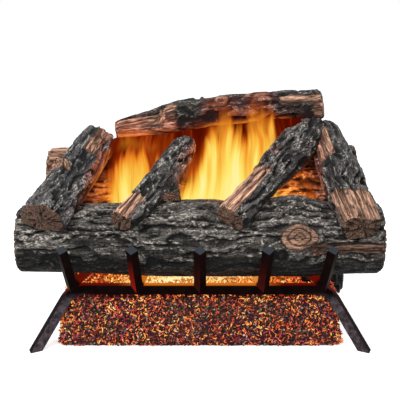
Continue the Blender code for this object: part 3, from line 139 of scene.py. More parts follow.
floor_mesh = bpy.data.meshes.new("floor")
floor_mesh.from_pydata(
    [(-6, -6, 0), (6, -6, 0), (6, 6, 0), (-6, 6, 0)], [], [(0, 1, 2, 3)]
)
floor = bpy.data.objects.new("floor", floor_mesh)
floor.location.z = -0.0005
bpy.context.scene.collection.objects.link(floor)
floor_paint = bpy.data.materials.new("floor")
floor_paint.use_nodes = True
floor_shader = floor_paint.node_tree.nodes["Principled BSDF"]
floor_shader.inputs["Base Color"].default_value = (0.93, 0.93, 0.93, 1)
floor_shader.inputs["Roughness"].default_value = 0.9
floor_shader.inputs["Emission Color"].default_value = (1, 1, 1, 1)
floor_paint.cycles.emission_sampling = "NONE"
brighter = floor_paint.node_tree.nodes.new("ShaderNodeMath")
brighter.operation = "MULTIPLY"
brighter.inputs[1].default_value = FLOOR_GLOW
floor_links = floor_paint.node_tree.links
floor_links.new(background_rays(floor_paint.node_tree), brighter.inputs[0])
floor_links.new(brighter.outputs[0], floor_shader.inputs["Emission Strength"])
floor_mesh.materials.append(floor_paint)
floor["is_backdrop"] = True


# Logs: cast refractory ceramic with the bark moulded in, brushed dark, with ash-grey
# flecks on its crests, and stained brown where the wood is split, sawn or knotted. Painted
# shade makes the bark near black in its furrows and darker on faces that look down. Each
# one is the CAD log remeshed to about two millimetres, smoothed, and carved inwards.
# The colour of the bark deep in its furrows: painted shade
BARK_PAINTED_SHADE = np.array([0.003, 0.003, 0.003])
BARK_FACE = np.array([0.074, 0.065, 0.057])
BARK_BLUE = np.array([0.066, 0.063, 0.064])
BARK_WARM = np.array([0.062, 0.056, 0.054])
BARK_TOP = np.array([0.033, 0.029, 0.026])
BARK_ASH = np.array([0.540, 0.500, 0.445])
WOOD_DARK = np.array([0.050, 0.021, 0.014])
WOOD_LIGHT = np.array([0.520, 0.292, 0.194])
BARK_DEPTH = 0.0062
PLATE_WIDTH = 0.021
WOOD_SINK = 0.0022
WOOD_GROOVE = 0.0030

# Where the top log lies on the others: the carving stays shallow there
SEATS = np.array([(-0.017, 0.075, 0.307), (0.200, 0.085, 0.317), (0.217, 0.085, 0.312)])
SEAT_REACH = 0.048


def hashed(ix, iy, iz, seed):
    """One random number from 0 to 1 for each cell, from its whole-number place."""
    code = (
        ix.astype(np.int64) * 374761393
        + iy.astype(np.int64) * 668265263
        + iz.astype(np.int64) * 1274126177
        + seed * 974634777
    ) & 0xFFFFFFFF
    code = ((code ^ (code >> 13)) * 1103515245) & 0xFFFFFFFF
    code = ((code ^ (code >> 16)) * 2246822519) & 0xFFFFFFFF
    code = code ^ (code >> 15)
    return code / 0xFFFFFFFF


def noise(points, seed):
    """Smooth noise from 0 to 1: random values at whole-number places, blended between
    the eight corners of a point's cell with a smooth step."""
    base = np.floor(points)
    part = points - base
    part = part * part * part * (part * (part * 6 - 15) + 10)
    ix, iy, iz = base.astype(np.int64).T
    fx, fy, fz = part.T
    total = 0
    for dx in (0, 1):
        for dy in (0, 1):
            for dz in (0, 1):
                weight = (fx if dx else 1 - fx) * (fy if dy else 1 - fy)
                weight = weight * (fz if dz else 1 - fz)
                total = total + weight * hashed(ix + dx, iy + dy, iz + dz, seed)
    return total


def layered(points, seed, layers=3):
    """Noise added to finer copies of itself, each half as strong."""
    total = 0
    weight = 0
    for k in range(layers):
        total = total + noise(points * 2**k, seed + k) / 2**k
        weight += 0.5**k
    return total / weight


def ridged(points, seed, layers=2):
    """Noise folded at its middle value, so that it is 0 on winding lines and 1 between."""
    total = 0
    weight = 0
    for k in range(layers):
        total = total + np.abs(2 * noise(points * 2**k, seed + k) - 1) / 2**k
        weight += 0.5**k
    return total / weight


def smooth(low, high, value):
    """A smooth step from 0 at low to 1 at high."""
    share = np.clip((value - low) / (high - low), 0, 1)
    return share * share * (3 - 2 * share)


def mixed(first, second, share):
    """Colours between first and second, by a share for each vertex."""
    return first + (second - first) * share[:, None]


def fine_mesh(node, voxel, turns):
    """A copy of a CAD node as an even net of small faces, with its corners rounded."""
    copy = frame["nodes"][node].copy()
    copy.data = frame["nodes"][node].data.copy()
    bpy.context.scene.collection.objects.link(copy)
    copy.modifiers.new("weld", "WELD").merge_threshold = 0.00001
    remesh = copy.modifiers.new("remesh", "REMESH")
    remesh.mode = "VOXEL"
    remesh.voxel_size = voxel
    soften = copy.modifiers.new("soften", "SMOOTH")
    soften.factor = 0.5
    soften.iterations = turns
    bpy.context.view_layer.update()
    held = copy.evaluated_get(bpy.context.evaluated_depsgraph_get())
    mesh = bpy.data.meshes.new_from_object(held)
    mesh.name = f"{node}_bark"
    bpy.data.objects.remove(copy)
    return mesh


def mesh_points(mesh):
    """The places of a mesh's vertices, one row each."""
    points = np.empty(len(mesh.vertices) * 3)
    mesh.vertices.foreach_get("co", points)
    return points.reshape(-1, 3)


def mesh_normals(mesh):
    """The directions in which a mesh's vertices face, one row each."""
    normals = np.empty(len(mesh.vertices) * 3, np.float32)
    mesh.vertex_normals.foreach_get("vector", normals)
    return normals.reshape(-1, 3).astype(float)


def set_colours(mesh, name, colours):
    """Stores a colour for each vertex."""
    held = mesh.color_attributes.new(name, "FLOAT_COLOR", "POINT")
    full = np.ones((len(colours), 4), np.float32)
    full[:, :3] = colours
    held.data.foreach_set("color", full.ravel())


def set_values(mesh, name, values):
    """Stores a number, or a vector, for each vertex."""
    if values.ndim == 1:
        held = mesh.attributes.new(name, "FLOAT", "POINT")
        held.data.foreach_set("value", values.astype(np.float32))
    else:
        held = mesh.attributes.new(name, "FLOAT_VECTOR", "POINT")
        held.data.foreach_set("vector", values.astype(np.float32).ravel())


def attribute(nodes, name):
    """A node that reads one of the stored values."""
    node = nodes.new("ShaderNodeAttribute")
    node.attribute_name = name
    return node


def spread_between(nodes, links, value, low, high, to_low, to_high):
    """A node that stretches a value from one range to another."""
    node = nodes.new("ShaderNodeMapRange")
    node.inputs["From Min"].default_value = low
    node.inputs["From Max"].default_value = high
    node.inputs["To Min"].default_value = to_low
    node.inputs["To Max"].default_value = to_high
    links.new(value, node.inputs["Value"])
    return node.outputs["Result"]


def new_paint(name, gloss_level):
    """A material with its nodes, its links and its shader."""
    paint = bpy.data.materials.new(name)
    paint.use_nodes = True
    shader = paint.node_tree.nodes["Principled BSDF"]
    shader.inputs["Specular IOR Level"].default_value = gloss_level
    return paint, paint.node_tree.nodes, paint.node_tree.links, shader


def new_glowing_paint(name, gloss_level):
    """A material that glows, without being a lamp to the rest of the scene."""
    paint, nodes, links, shader = new_paint(name, gloss_level)
    paint.cycles.emission_sampling = "NONE"
    shader.inputs["Emission Strength"].default_value = 1.0
    return paint, nodes, links, shader


def noise_node(nodes, links, vector, scale, detail):
    """A noise texture, read at vector."""
    node = nodes.new("ShaderNodeTexNoise")
    node.inputs["Scale"].default_value = scale
    node.inputs["Detail"].default_value = detail
    links.new(vector, node.inputs["Vector"])
    return node


def scaled_node(nodes, links, vector, amount):
    """A colour or vector times an amount."""
    node = nodes.new("ShaderNodeVectorMath")
    node.operation = "SCALE"
    links.new(vector, node.inputs[0])
    links.new(amount, node.inputs["Scale"])
    return node.outputs["Vector"]


def product_node(nodes, links, first, second):
    """One value times another."""
    node = nodes.new("ShaderNodeMath")
    node.operation = "MULTIPLY"
    links.new(first, node.inputs[0])
    links.new(second, node.inputs[1])
    return node.outputs["Value"]


def mix_node(nodes, links, amount, first, second):
    """A blend of two colours, each a plain colour or what another node gives."""
    node = nodes.new("ShaderNodeMix")
    node.data_type = "RGBA"
    links.new(amount, node.inputs[0])
    for socket, colour in ((node.inputs[6], first), (node.inputs[7], second)):
        if isinstance(colour, tuple):
            socket.default_value = (*colour, 1)
        else:
            links.new(colour, socket)
    return node.outputs[2]


def bump_node(nodes, links, shader, height, strength, distance):
    """Gives the shader small relief from a height."""
    node = nodes.new("ShaderNodeBump")
    node.inputs["Strength"].default_value = strength
    node.inputs["Distance"].default_value = distance
    links.new(height, node.inputs["Height"])
    links.new(node.outputs["Normal"], shader.inputs["Normal"])


def bark_paint(name, along, across):
    """Matte ceramic. Fine noise, longer along the log than across it, breaks up the
    colour, the gloss and the surface. A slower noise, frost, scatters ash flecks where
    the carving stored ash."""
    paint, nodes, links, shader = new_glowing_paint(name, 0.25)
    stretch = nodes.new("ShaderNodeVectorMath")
    stretch.operation = "MULTIPLY"
    stretch.inputs[1].default_value = (along, across, across)
    links.new(attribute(nodes, "place").outputs["Vector"], stretch.inputs[0])
    fleck = noise_node(nodes, links, stretch.outputs["Vector"], 1.0, 4)
    fleck.inputs["Roughness"].default_value = 0.62
    fine = fleck.outputs["Fac"]
    bright = spread_between(nodes, links, fine, 0.36, 0.64, 0.12, 1.88)
    tint = scaled_node(nodes, links, attribute(nodes, "tint").outputs["Color"], bright)
    frost = noise_node(nodes, links, stretch.outputs["Vector"], 0.80, 1)
    speck = spread_between(nodes, links, frost.outputs["Fac"], 0.52, 0.57, 0.0, 1.0)
    amount = product_node(nodes, links, speck, attribute(nodes, "ash").outputs["Fac"])
    colour = mix_node(nodes, links, amount, tint, tuple(BARK_ASH))
    links.new(colour, shader.inputs["Base Color"])
    gloss = spread_between(nodes, links, fine, 0.3, 0.7, 0.95, 0.72)
    links.new(gloss, shader.inputs["Roughness"])
    bump_node(nodes, links, shader, fine, 1.0, 0.0022)
    # The log's glow is painted fire light: the flames' light on the logs, given as emission
    links.new(attribute(nodes, "glow").outputs["Color"], shader.inputs["Emission Color"])
    return paint


BARK = bark_paint("bark ceramic", 250, 540)


class Patch:
    """Where a log shows bare wood: a span along it, as shares of its length, and an
    angle round it with a half width (degrees from the top, 90 at the front or right).
    A knot is an oval in the same span, with rings instead of straight grain. stain is
    how light the wood is left."""

    def __init__(self, low, high, angle, width, ragged=0.5, knot=False, stain=1.0):
        self.low = low
        self.high = high
        self.angle = angle
        self.width = width
        self.ragged = ragged
        self.knot = knot
        self.stain = stain

    def reach(self, along, angle):
        """How far out a vertex is: 0 at the patch's middle, 1 at its edge."""
        off = (along - (self.high + self.low) / 2) / ((self.high - self.low) / 2)
        turn = ((angle - self.angle + 180) % 360 - 180) / self.width
        if self.knot:
            return np.hypot(off, turn)
        return np.maximum(np.abs(off), np.abs(turn))


def plate_height(angle, place, bent, radius, seed):
    """Height of the bark, 0 to 1, and its crests. Plates lie like shingles round the log:
    each swells towards its lower edge and drops there, along a line that noise makes
    wander. Winding crests and lumps are added, and cracks are taken off where the plates
    are strong. Each noise is stretched by its cell's size along, out of and up the log."""
    count = max(round(2 * math.pi * radius / PLATE_WIDTH), 4)
    wander = layered(place / [0.075, 0.030, 0.030], seed + 1, 3) - 0.5
    turn = count * angle / 360 + 3.4 * wander
    step = turn - np.floor(turn)
    plate = smooth(0.0, 0.75, step) * smooth(1.0, 0.90, step)
    strong = smooth(0.30, 0.62, layered(place / [0.060, 0.022, 0.022], seed + 5, 2))
    crest = smooth(0.34, 0.0, ridged(bent / [0.024, 0.0085, 0.0085], seed + 8, 2))
    crack = smooth(0.10, 0.0, ridged(bent / [0.022, 0.026, 0.026], seed + 11, 2))
    lumps = layered(place / [0.026, 0.0085, 0.0085], seed + 14, 3)
    height = 0.30 + 0.38 * (plate - 0.35) * (0.45 + strong) + 0.36 * crest
    height = height + 0.34 * (lumps - 0.45) - 0.22 * crack * strong
    return np.clip(height, 0, 1), crest


def carve_log(
    node, start, end, patches, seed, face, voxel, fork=None, ends=(0, 0), frost=1.0
):
    """Carves and colours a log. Each vertex moves inwards by BARK_DEPTH times one minus a
    smooth step of the bark's height, or on wood by WOOD_SINK plus WOOD_GROOVE times one
    minus the height of its grain, and by less underneath and on the seats. An end that is
    marked in ends is sawn wood with splits from its middle, and fork is (place, way,
    radius) of a sawn branch with rings. face is the bark's colour, voxel the size of the
    net's faces, and frost how strong the ash on the crests is."""
    mesh = fine_mesh(node, voxel, 5)
    points = mesh_points(mesh)
    normals = mesh_normals(mesh)
    start = np.array(start)
    line = np.array(end) - start
    length = np.linalg.norm(line)
    line /= length
    rise = np.array([0, 0, 1]) - line * line[2]
    rise /= np.linalg.norm(rise)
    side = np.cross(line, rise)
    offset = points - start
    along = offset @ line
    up = offset @ rise
    out = offset @ side
    angle = np.degrees(np.arctan2(out, up))
    place = np.column_stack([along, out, up])
    radial = np.hypot(out, up)
    facing = normals @ line
    warp = layered(place / [0.050, 0.020, 0.020], seed + 20, 2) - 0.5
    bend = layered(place / [0.030, 0.015, 0.015], seed + 24, 2) - 0.5
    bent = place + np.column_stack([0.02 * bend, 0.013 * warp, 0.013 * bend])
    height, crest = plate_height(angle, place, bent, np.median(radial), seed)

    # Bare wood: patches with straight grain, knots with rings, sawn ends
    edge = layered(place / [0.020, 0.006, 0.006], seed + 30, 3) - 0.5
    grain_place = (0.92 * place + 0.08 * bent) / [0.42, 0.0048, 0.0048]
    grain = ridged(grain_place, seed + 60, 2)
    wood = np.zeros(len(points))
    rim = np.zeros(len(points))
    stain = np.ones(len(points))
    for patch in patches:
        reach = patch.reach(along / length, angle)
        part = smooth(1.04, 0.96, reach + patch.ragged * edge)
        rim = np.maximum(rim, part * smooth(0.86, 1.0, reach + patch.ragged * edge))
        stain = stain * (1 - part) + part * patch.stain
        if patch.knot:
            rings = np.abs(np.sin(9.5 * np.maximum(reach + 0.17 * edge, 0) ** 0.8))
            grain = grain * (1 - part) + part * rings
        wood = np.maximum(wood, part)
    sawn = np.zeros(len(points))
    for mark, way in zip(ends, (-1, 1)):
        near = along < length * 0.2 if way < 0 else along > length * 0.8
        if mark:
            sawn = np.maximum(sawn, near * smooth(0.78, 0.93, facing * way))
    spokes = ridged(np.column_stack([angle / 11, radial / 0.03, 0 * angle]), seed + 80, 2)
    grain = grain * (1 - sawn) + sawn * smooth(0.10, 0.45, spokes)
    if fork:
        root, way, radius = (np.array(value) for value in fork)
        reach = (points - root) @ way
        off = np.linalg.norm(points - root - reach[:, None] * way, axis=1)
        cap = (off < radius) * smooth(0.6, 0.85, normals @ way) * (np.abs(reach) < 0.012)
        rings = np.abs(np.sin(14 * np.maximum(off / radius + 0.35 * edge, 0) ** 0.9))
        grain = grain * (1 - cap) + cap * rings
        wood = np.maximum(wood, cap)
    splits = smooth(0.09, 0.0, ridged(bent / [0.14, 0.013, 0.013], seed + 70, 1))
    wood = np.maximum(wood, sawn)
    wood_height = smooth(0.08, 0.52, grain) * (1 - 0.9 * splits)

    depth = BARK_DEPTH * (1 - smooth(0.06, 0.62, height))
    wood_depth = WOOD_SINK * (1 - sawn) + WOOD_GROOVE * (1 - wood_height)
    depth = depth * (1 - wood) + wood_depth * wood
    seat = np.zeros(len(points))
    for held in SEATS:
        far = np.linalg.norm(points - held, axis=1)
        seat = np.maximum(seat, np.exp(-((far / SEAT_REACH) ** 4)))
    depth = depth * (1 - 0.6 * smooth(0.35, 0.85, -normals[:, 2])) * (1 - 0.9 * seat)
    moved = points - normals * depth[:, None]
    mesh.vertices.foreach_set("co", moved.ravel())
    mesh.update()

    patchy = 0.62 + 0.76 * layered(place / [0.06, 0.03, 0.03], seed + 90, 2)
    # Painted shade: the bark goes from near black deep in its furrows to its own colour on
    # the rises
    tint = mixed(BARK_PAINTED_SHADE, face, smooth(0.16, 0.60, height))
    tint = tint * patchy[:, None] * (1 + 1.3 * crest * height)[:, None]
    blotch = layered(place / [0.06, 0.012, 0.012], seed + 95, 2)
    brown = mixed(WOOD_DARK, WOOD_LIGHT, wood_height)
    brown = brown * (0.60 + 0.85 * blotch)[:, None] * (1 - 0.35 * rim)[:, None]
    brown = brown * ((1 - 0.54 * sawn) * stain)[:, None]
    # Painted shade on faces that look down: the bark darkens almost to black, the wood to
    # about half, and the ash flecks thin out
    painted_underside_shade = 1 - 0.96 * smooth(-0.14, 0.32, -normals[:, 2])
    tint = mixed(tint * painted_underside_shade[:, None], brown * (0.50 + 0.50 * painted_underside_shade)[:, None], wood)
    set_colours(mesh, "tint", tint)
    # Painted fire light, stored as the glow
    set_colours(mesh, "glow", painted_fire_light(points, normals, height, tint))
    ashy = smooth(0.26, 0.58, layered(place / [0.035, 0.016, 0.016], seed + 97, 2))
    ash = smooth(0.34, 0.66, height) * (0.25 + 0.75 * ashy) * (0.35 + 1.2 * crest)
    ash = frost * np.clip(ash, 0, 1) * (1 - 0.9 * wood) * painted_underside_shade**0.6
    set_values(mesh, "ash", ash)
    squeezed = place.copy()
    squeezed[:, 0] *= 1 - 0.8 * wood
    set_values(mesh, "place", squeezed)
    mesh.shade_smooth()
    mesh.materials.clear()
    mesh.materials.append(BARK)
    piece = bpy.data.objects.new(f"{node}_carved", mesh)
    bpy.context.scene.collection.objects.link(piece)
    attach(piece, BODY)
    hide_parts(node)


# Hot places in the fire, as x, z, half width, half height and power, their place and
# reach in depth, and the bands up the top log's front, as x, half width and power
GLOW_SOURCES = (
    (-0.120, 0.215, 0.095, 0.090, 1.9),
    (0.06, 0.240, 0.09, 0.10, 1.3),
    (0.160, 0.205, 0.045, 0.055, 1.5),
)
GLOW_Y = 0.018
GLOW_HALF_DEPTH = 0.065
GLOW_BANDS = ((-0.128, 0.036, 0.10), (0.036, 0.030, 0.46), (0.100, 0.026, 0.42))


def painted_fire_light(points, normals, height, tint):
    """Light that the flames throw on the logs, painted on as glow: strongest near three
    places in the fire, on crests and on faces turned to them. The top log gets this painted
    fire light along its underside and, in a faint band and two strong ones, up its front.
    Orange where hot, fading to deep red."""
    x, y, z = points.T
    heat = np.zeros(len(points))
    for cx, cz, wx, wz, power in GLOW_SOURCES:
        away = ((x - cx) / wx) ** 2 + ((z - cz) / wz) ** 2
        away = away + ((y - GLOW_Y) / GLOW_HALF_DEPTH) ** 2
        way = np.column_stack([cx - x, GLOW_Y - y, cz - 0.02 - z])
        way /= np.linalg.norm(way, axis=1)[:, None] + 1e-9
        heat += power * np.exp(-away) * np.clip((normals * way).sum(1) + 0.15, 0, 1)
    down = np.clip(-normals[:, 2], 0, 1)
    high = smooth(0.290, 0.300, z)
    bands = 0.0
    for cx, wx, power in GLOW_BANDS:
        bands = np.maximum(bands, power * np.exp(-(((x - cx) / wx) ** 4)))
    heat += high * bands * smooth(-0.10, 0.60, -normals[:, 1])
    edge = smooth(0.25, 0.75, down) * smooth(-0.03, 0.01, x) * smooth(0.17, 0.13, x)
    edge = edge * smooth(0.100, 0.070, y)
    heat += 0.9 * high * edge
    heat = np.clip(heat, 0, 1.4) * (0.05 + 1.15 * smooth(0.18, 0.72, height))
    colour = np.column_stack([heat, 0.25 * heat**1.45, 0.02 * heat**2.2])
    return colour * (0.40 + 3.0 * tint.mean(axis=1))[:, None]


# Each log: the two ends of its axis, its patches of wood, a seed, its bark's colour and
# the size of its net's faces
carve_log(
    "front_log",
    (-0.298, -0.0748, 0.1605),
    (0.298, -0.0748, 0.1605),
    [
        Patch(0.712, 0.818, 73, 18, 0.25, knot=True, stain=0.60),
        Patch(0.795, 1.010, 92, 9.5, 0.3, stain=0.58),
    ],
    11,
    BARK_FACE,
    0.00184,
    ends=(1, 1),
)
carve_log(
    "rear_log",
    (-0.271, 0.095, 0.1929),
    (0.279, 0.095, 0.1929),
    [Patch(-0.02, 0.10, 5, 38)],
    23,
    BARK_FACE,
    0.0021,
    ends=(1, 1),
)
carve_log(
    "top_log",
    (-0.148, 0.079, 0.3125),
    (0.214, 0.079, 0.3595),
    [
        Patch(-0.05, 0.30, 84, 66, 0.22, stain=1.2),
        Patch(0.80, 1.05, 48, 13),
        Patch(0.945, 1.05, 82, 55, 0.6),
    ],
    37,
    BARK_TOP,
    0.0015,
    ends=(1, 1),
    frost=0.55,
)
carve_log(
    "left_stack_log",
    (-0.249, -0.1328, 0.2027),
    (-0.177, 0.077, 0.2979),
    [Patch(0.69, 1.05, 38, 25, 0.6, stain=1.35)],
    41,
    BARK_BLUE,
    0.0016,
    fork=((-0.2302, -0.0488, 0.2708), (-0.4998, -0.8197, 0.2799), 0.022),
    ends=(1, 0),
)
carve_log(
    "left_rest_log",
    (-0.124, -0.1468, 0.2094),
    (-0.017, 0.075, 0.3068),
    [Patch(-0.05, 0.235, -10, 72, 0.5, stain=1.20)],
    53,
    BARK_WARM,
    0.0013,
    fork=((-0.0489, -0.0795, 0.2250), (0.0802, -0.8617, -0.5010), 0.0185),
    ends=(1, 0),
)
carve_log(
    "right_rest_log",
    (0.047, -0.1358, 0.2107),
    (0.2, 0.085, 0.3167),
    [Patch(-0.05, 0.42, -28, 64, 0.4, stain=1.30)],
    61,
    BARK_WARM,
    0.0015,
    ends=(1, 0),
)
carve_log(
    "right_stack_log",
    (0.255, -0.1428, 0.198),
    (0.217, 0.085, 0.3087),
    [Patch(-0.05, 0.285, -10, 78, 0.45), Patch(0.60, 0.98, -42, 30, 0.4)],
    79,
    BARK_WARM,
    0.0016,
    ends=(1, 0),
)


# Ember bed: loose mineral-wool and rock granules heaped on the burner. The bed's CAD
# solid becomes the ground, dark olive and plum like the granules and darker still as painted
# shade in the gaps between them, and two sorts of granule are strewn on it: small broken
# stones, and short strands that glow from yellow in the fire to dark red on the slopes.
def ember_paint():
    """Rough granules: the stored colour, broken up by fine grit, and the stored glow."""
    paint, nodes, links, shader = new_glowing_paint("ember granules", 0.2)
    shader.inputs["Roughness"].default_value = 0.88
    where = nodes.new("ShaderNodeTexCoord")
    grit = noise_node(nodes, links, where.outputs["Object"], 700, 3).outputs["Fac"]
    bright = spread_between(nodes, links, grit, 0.35, 0.65, 0.4, 1.6)
    tint = scaled_node(nodes, links, attribute(nodes, "tint").outputs["Color"], bright)
    links.new(tint, shader.inputs["Base Color"])
    bump_node(nodes, links, shader, grit, 0.7, 0.0008)
    links.new(attribute(nodes, "glow").outputs["Color"], shader.inputs["Emission Color"])
    return paint


EMBER = ember_paint()
rng = np.random.default_rng(7)
ground = fine_mesh("ember_bed", 0.0030, 2)
points = mesh_points(ground)
normals = mesh_normals(ground)


def ember_heat(places):
    """How hot the fire makes the bed: over the burner, most at its left middle."""
    x, y, z = places.T
    over = smooth(-0.100, -0.075, y) * smooth(0.115, 0.085, y) * smooth(0.060, 0.075, z)
    middle = 0.32 + 0.90 * np.exp(-(((x + 0.040) / 0.080) ** 2))
    return over * middle * np.exp(-((np.abs(x) / 0.20) ** 6))


def warm_patches(places):
    """Slow noise that makes some places of the slopes glow more than others."""
    return layered(places / 0.030, 201, 2)


grain = layered(points / 0.004, 211, 2)
lowered = points - normals * (0.0002 + 0.0022 * grain)[:, None]
ground.vertices.foreach_set("co", lowered.ravel())
ground.update()
# The ground between the granules: the granules' dark olive and plum, made near black as
# painted shade in the gaps
OLIVE = np.array([0.020, 0.015, 0.010])
PLUM = np.array([0.014, 0.005, 0.014])
olive_share = smooth(0.40, 0.60, layered(points / 0.018, 221, 2))
dark = mixed(PLUM, OLIVE, olive_share)
set_colours(ground, "tint", dark * (0.3 + 1.2 * grain[:, None]))
warm = 0.01 + 0.03 * warm_patches(points) + 0.60 * ember_heat(points)
warm = warm * (0.3 + 0.9 * grain)
set_colours(ground, "glow", np.column_stack([warm, 0.42 * warm**1.5, 0.10 * warm**2]))
ground.shade_smooth()
ground.materials.clear()
ground.materials.append(EMBER)
bed = bpy.data.objects.new("ember_ground", ground)
bpy.context.scene.collection.objects.link(bed)
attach(bed, BODY)
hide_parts("ember_bed")


EMBER_HEATS = np.array([0.0, 0.30, 0.55, 0.80, 1.10, 1.50])
EMBER_COLOURS = np.array(
    [
        [0.000, 0.000, 0.000],
        [0.330, 0.018, 0.014],
        [0.840, 0.105, 0.016],
        [1.000, 0.330, 0.035],
        [1.050, 0.760, 0.220],
        [1.150, 1.000, 0.600],
    ]
)


def ember_glow(heat):
    """The colour that a granule glows with, read off the table by its heat."""
    channels = [np.interp(heat, EMBER_HEATS, EMBER_COLOURS[:, k]) for k in range(3)]
    return np.stack(channels, axis=-1)


# The pan that the bed covers, the bay that it leaves for the valve, and its front slope
PAN_HALF_WIDTH = 0.1745
PAN_HALF_DEPTH = 0.0925
PAN_TOP = 0.0625
BAY_LEFT = 0.170
BAY_FRONT = -0.0605
BED_FOOT = 0.0015
SLOPE_BACK = -0.080


def open_surface(places):
    """The bed's outer skin, without its underside or the faces against pan and valve."""
    x, y, z = places.T
    pan = (np.abs(x) < PAN_HALF_WIDTH) & (np.abs(y) < PAN_HALF_DEPTH) & (z < PAN_TOP)
    bay = (x > BAY_LEFT) & (y > BAY_FRONT)
    return ~pan & ~bay & (z > BED_FOOT)


def strewn(count, front_weight):
    """Random places on the bed's outer skin, with the skin's normals. Places on the
    front slope are front_weight times as likely as others."""
    keep = np.flatnonzero(open_surface(points))
    weight = np.where(points[keep, 1] < SLOPE_BACK, front_weight, 1.0)
    chosen = rng.choice(keep, count, p=weight / weight.sum())
    jitter = rng.normal(0, 0.0012, (count, 3))
    return points[chosen] + jitter, normals[chosen]


def random_turns(count):
    """One random rotation matrix for each granule, from random unit quaternions."""
    w, x, y, z = rng.normal(size=(count, 4)).T
    size = np.sqrt(w * w + x * x + y * y + z * z)
    w, x, y, z = w / size, x / size, y / size, z / size
    rows = [
        [1 - 2 * (y * y + z * z), 2 * (x * y - z * w), 2 * (x * z + y * w)],
        [2 * (x * y + z * w), 1 - 2 * (x * x + z * z), 2 * (y * z - x * w)],
        [2 * (x * z - y * w), 2 * (y * z + x * w), 1 - 2 * (x * x + y * y)],
    ]
    return np.array(rows).transpose(2, 0, 1)


def swarm(name, shape, faces, places, sizes, tints, glows):
    """One mesh of many small closed shapes, each turned at random and sized, with a
    colour for each shape and a glow for each vertex."""
    count = len(places)
    turns = random_turns(count)
    body = np.einsum("nij,nkj->nki", turns, shape * sizes[:, None, :]) + places[:, None]
    body[..., 2] = np.maximum(body[..., 2], 0.0004)
    each = shape.shape[1]
    first = (np.arange(count) * each)[:, None]
    mesh = bpy.data.meshes.new(name)
    listed = []
    for face in faces:
        listed += (first + np.asarray(face)[None]).tolist()
    mesh.from_pydata(body.reshape(-1, 3), [], listed)
    set_colours(mesh, "tint", np.repeat(tints, each, axis=0))
    set_colours(mesh, "glow", np.clip(glows, 0, 1.3).reshape(-1, 3))
    mesh.shade_smooth()
    mesh.materials.append(EMBER)
    piece = bpy.data.objects.new(name, mesh)
    bpy.context.scene.collection.objects.link(piece)
    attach(piece, BODY)


def stone_shape():
    """An icosahedron: corners (0, 1, golden) in all orders and signs, and the triangles
    of corners that are an edge apart, wound outwards."""
    golden = (1 + 5**0.5) / 2
    signs = [(s, t * golden) for s in (-1.0, 1.0) for t in (-1.0, 1.0)]
    corners = [(s, t, 0.0) for s, t in signs] + [(0.0, s, t) for s, t in signs]
    corners = np.array(corners + [(t, 0.0, s) for s, t in signs])
    near = np.linalg.norm(corners[:, None] - corners[None], axis=2)
    near = np.abs(near - 2) < 0.01
    corners = corners / np.linalg.norm(corners[0])
    faces = []
    for a, b, c in itertools.combinations(range(12), 3):
        if near[a, b] and near[b, c] and near[a, c]:
            pa, pb, pc = corners[[a, b, c]]
            out = np.cross(pb - pa, pc - pa) @ (pa + pb + pc)
            faces.append((a, b, c) if out > 0 else (a, c, b))
    return corners, faces


STONE_COUNT = 9500
corners, faces = stone_shape()
places, way = strewn(STONE_COUNT, 2.2)
sizes = rng.uniform(0.0012, 0.0025, (STONE_COUNT, 1))
sizes = sizes * rng.uniform(0.7, 1.2, (STONE_COUNT, 3))
places = places - way * (sizes.max(axis=1) * 0.5)[:, None]
STONE_KINDS = np.array(
    [
        [0.190, 0.155, 0.108],
        [0.105, 0.085, 0.062],
        [0.300, 0.260, 0.200],
        [0.130, 0.045, 0.110],
        [0.390, 0.135, 0.150],
        [0.270, 0.060, 0.030],
        [0.600, 0.460, 0.420],
    ]
)
# Plain kinds lie in patches, most of them halfway up the slopes, and rosy ones elsewhere
mossy = layered(places / [0.030, 0.020, 0.016], 231, 2)
mossy = mossy + 0.22 * smooth(0.072, 0.050, places[:, 2])
mossy = smooth(0.42, 0.72, mossy - 0.25 * smooth(0.030, 0.010, places[:, 2]))
plain = rng.choice(7, STONE_COUNT, p=[0.44, 0.32, 0.10, 0.04, 0.03, 0.05, 0.02])
rosy = rng.choice(7, STONE_COUNT, p=[0.10, 0.14, 0.02, 0.26, 0.22, 0.22, 0.04])
kind = np.where(rng.uniform(size=STONE_COUNT) < mossy, plain, rosy)
tints = STONE_KINDS[kind] * (0.03 + 1.5 * rng.uniform(size=(STONE_COUNT, 1)) ** 1.6)
glows = rng.uniform(-0.10, 0.10, STONE_COUNT) + 1.15 * ember_heat(places) ** 0.6
glows = ember_glow(glows)
swarm(
    "ember_stones",
    corners[None] * rng.uniform(0.8, 1.1, (STONE_COUNT, 12, 1)),
    faces,
    places,
    sizes,
    tints,
    np.repeat(glows, 12, axis=0),
)

# Strands: a bent rod of square section, along sin(b t), 1 - cos(b t), tapered to its ends
STRAND_COUNT = 6400
STRAND_STEPS = 3
turn = np.linspace(-1.0, 1.0, STRAND_STEPS + 1)
bends = rng.uniform(0.25, 1.25, (STRAND_COUNT, 1)) * turn[None]
stretch = 1 / rng.uniform(0.55, 1.0, (STRAND_COUNT, 1))
centre = np.stack([stretch * np.sin(bends), 1 - np.cos(bends), 0.3 * turn * bends], axis=2)
outward = np.stack([-np.sin(bends), np.cos(bends), 0 * bends], axis=2)
upward = np.zeros_like(outward)
upward[..., 2] = 1
thick = 0.27 * np.sqrt(1.1 - 0.85 * turn**2)[None, :, None]
loops = [centre + thick * outward, centre + thick * upward]
loops += [centre - thick * outward, centre - thick * upward]
strands = np.stack(loops, axis=2).reshape(STRAND_COUNT, -1, 3)
faces = [(3, 2, 1, 0), tuple(STRAND_STEPS * 4 + k for k in range(4))]
for step, side in itertools.product(range(0, STRAND_STEPS * 4, 4), range(4)):
    beside = (side + 1) % 4
    faces.append((step + side, step + beside, step + 4 + beside, step + 4 + side))
places, way = strewn(STRAND_COUNT, 2.4)
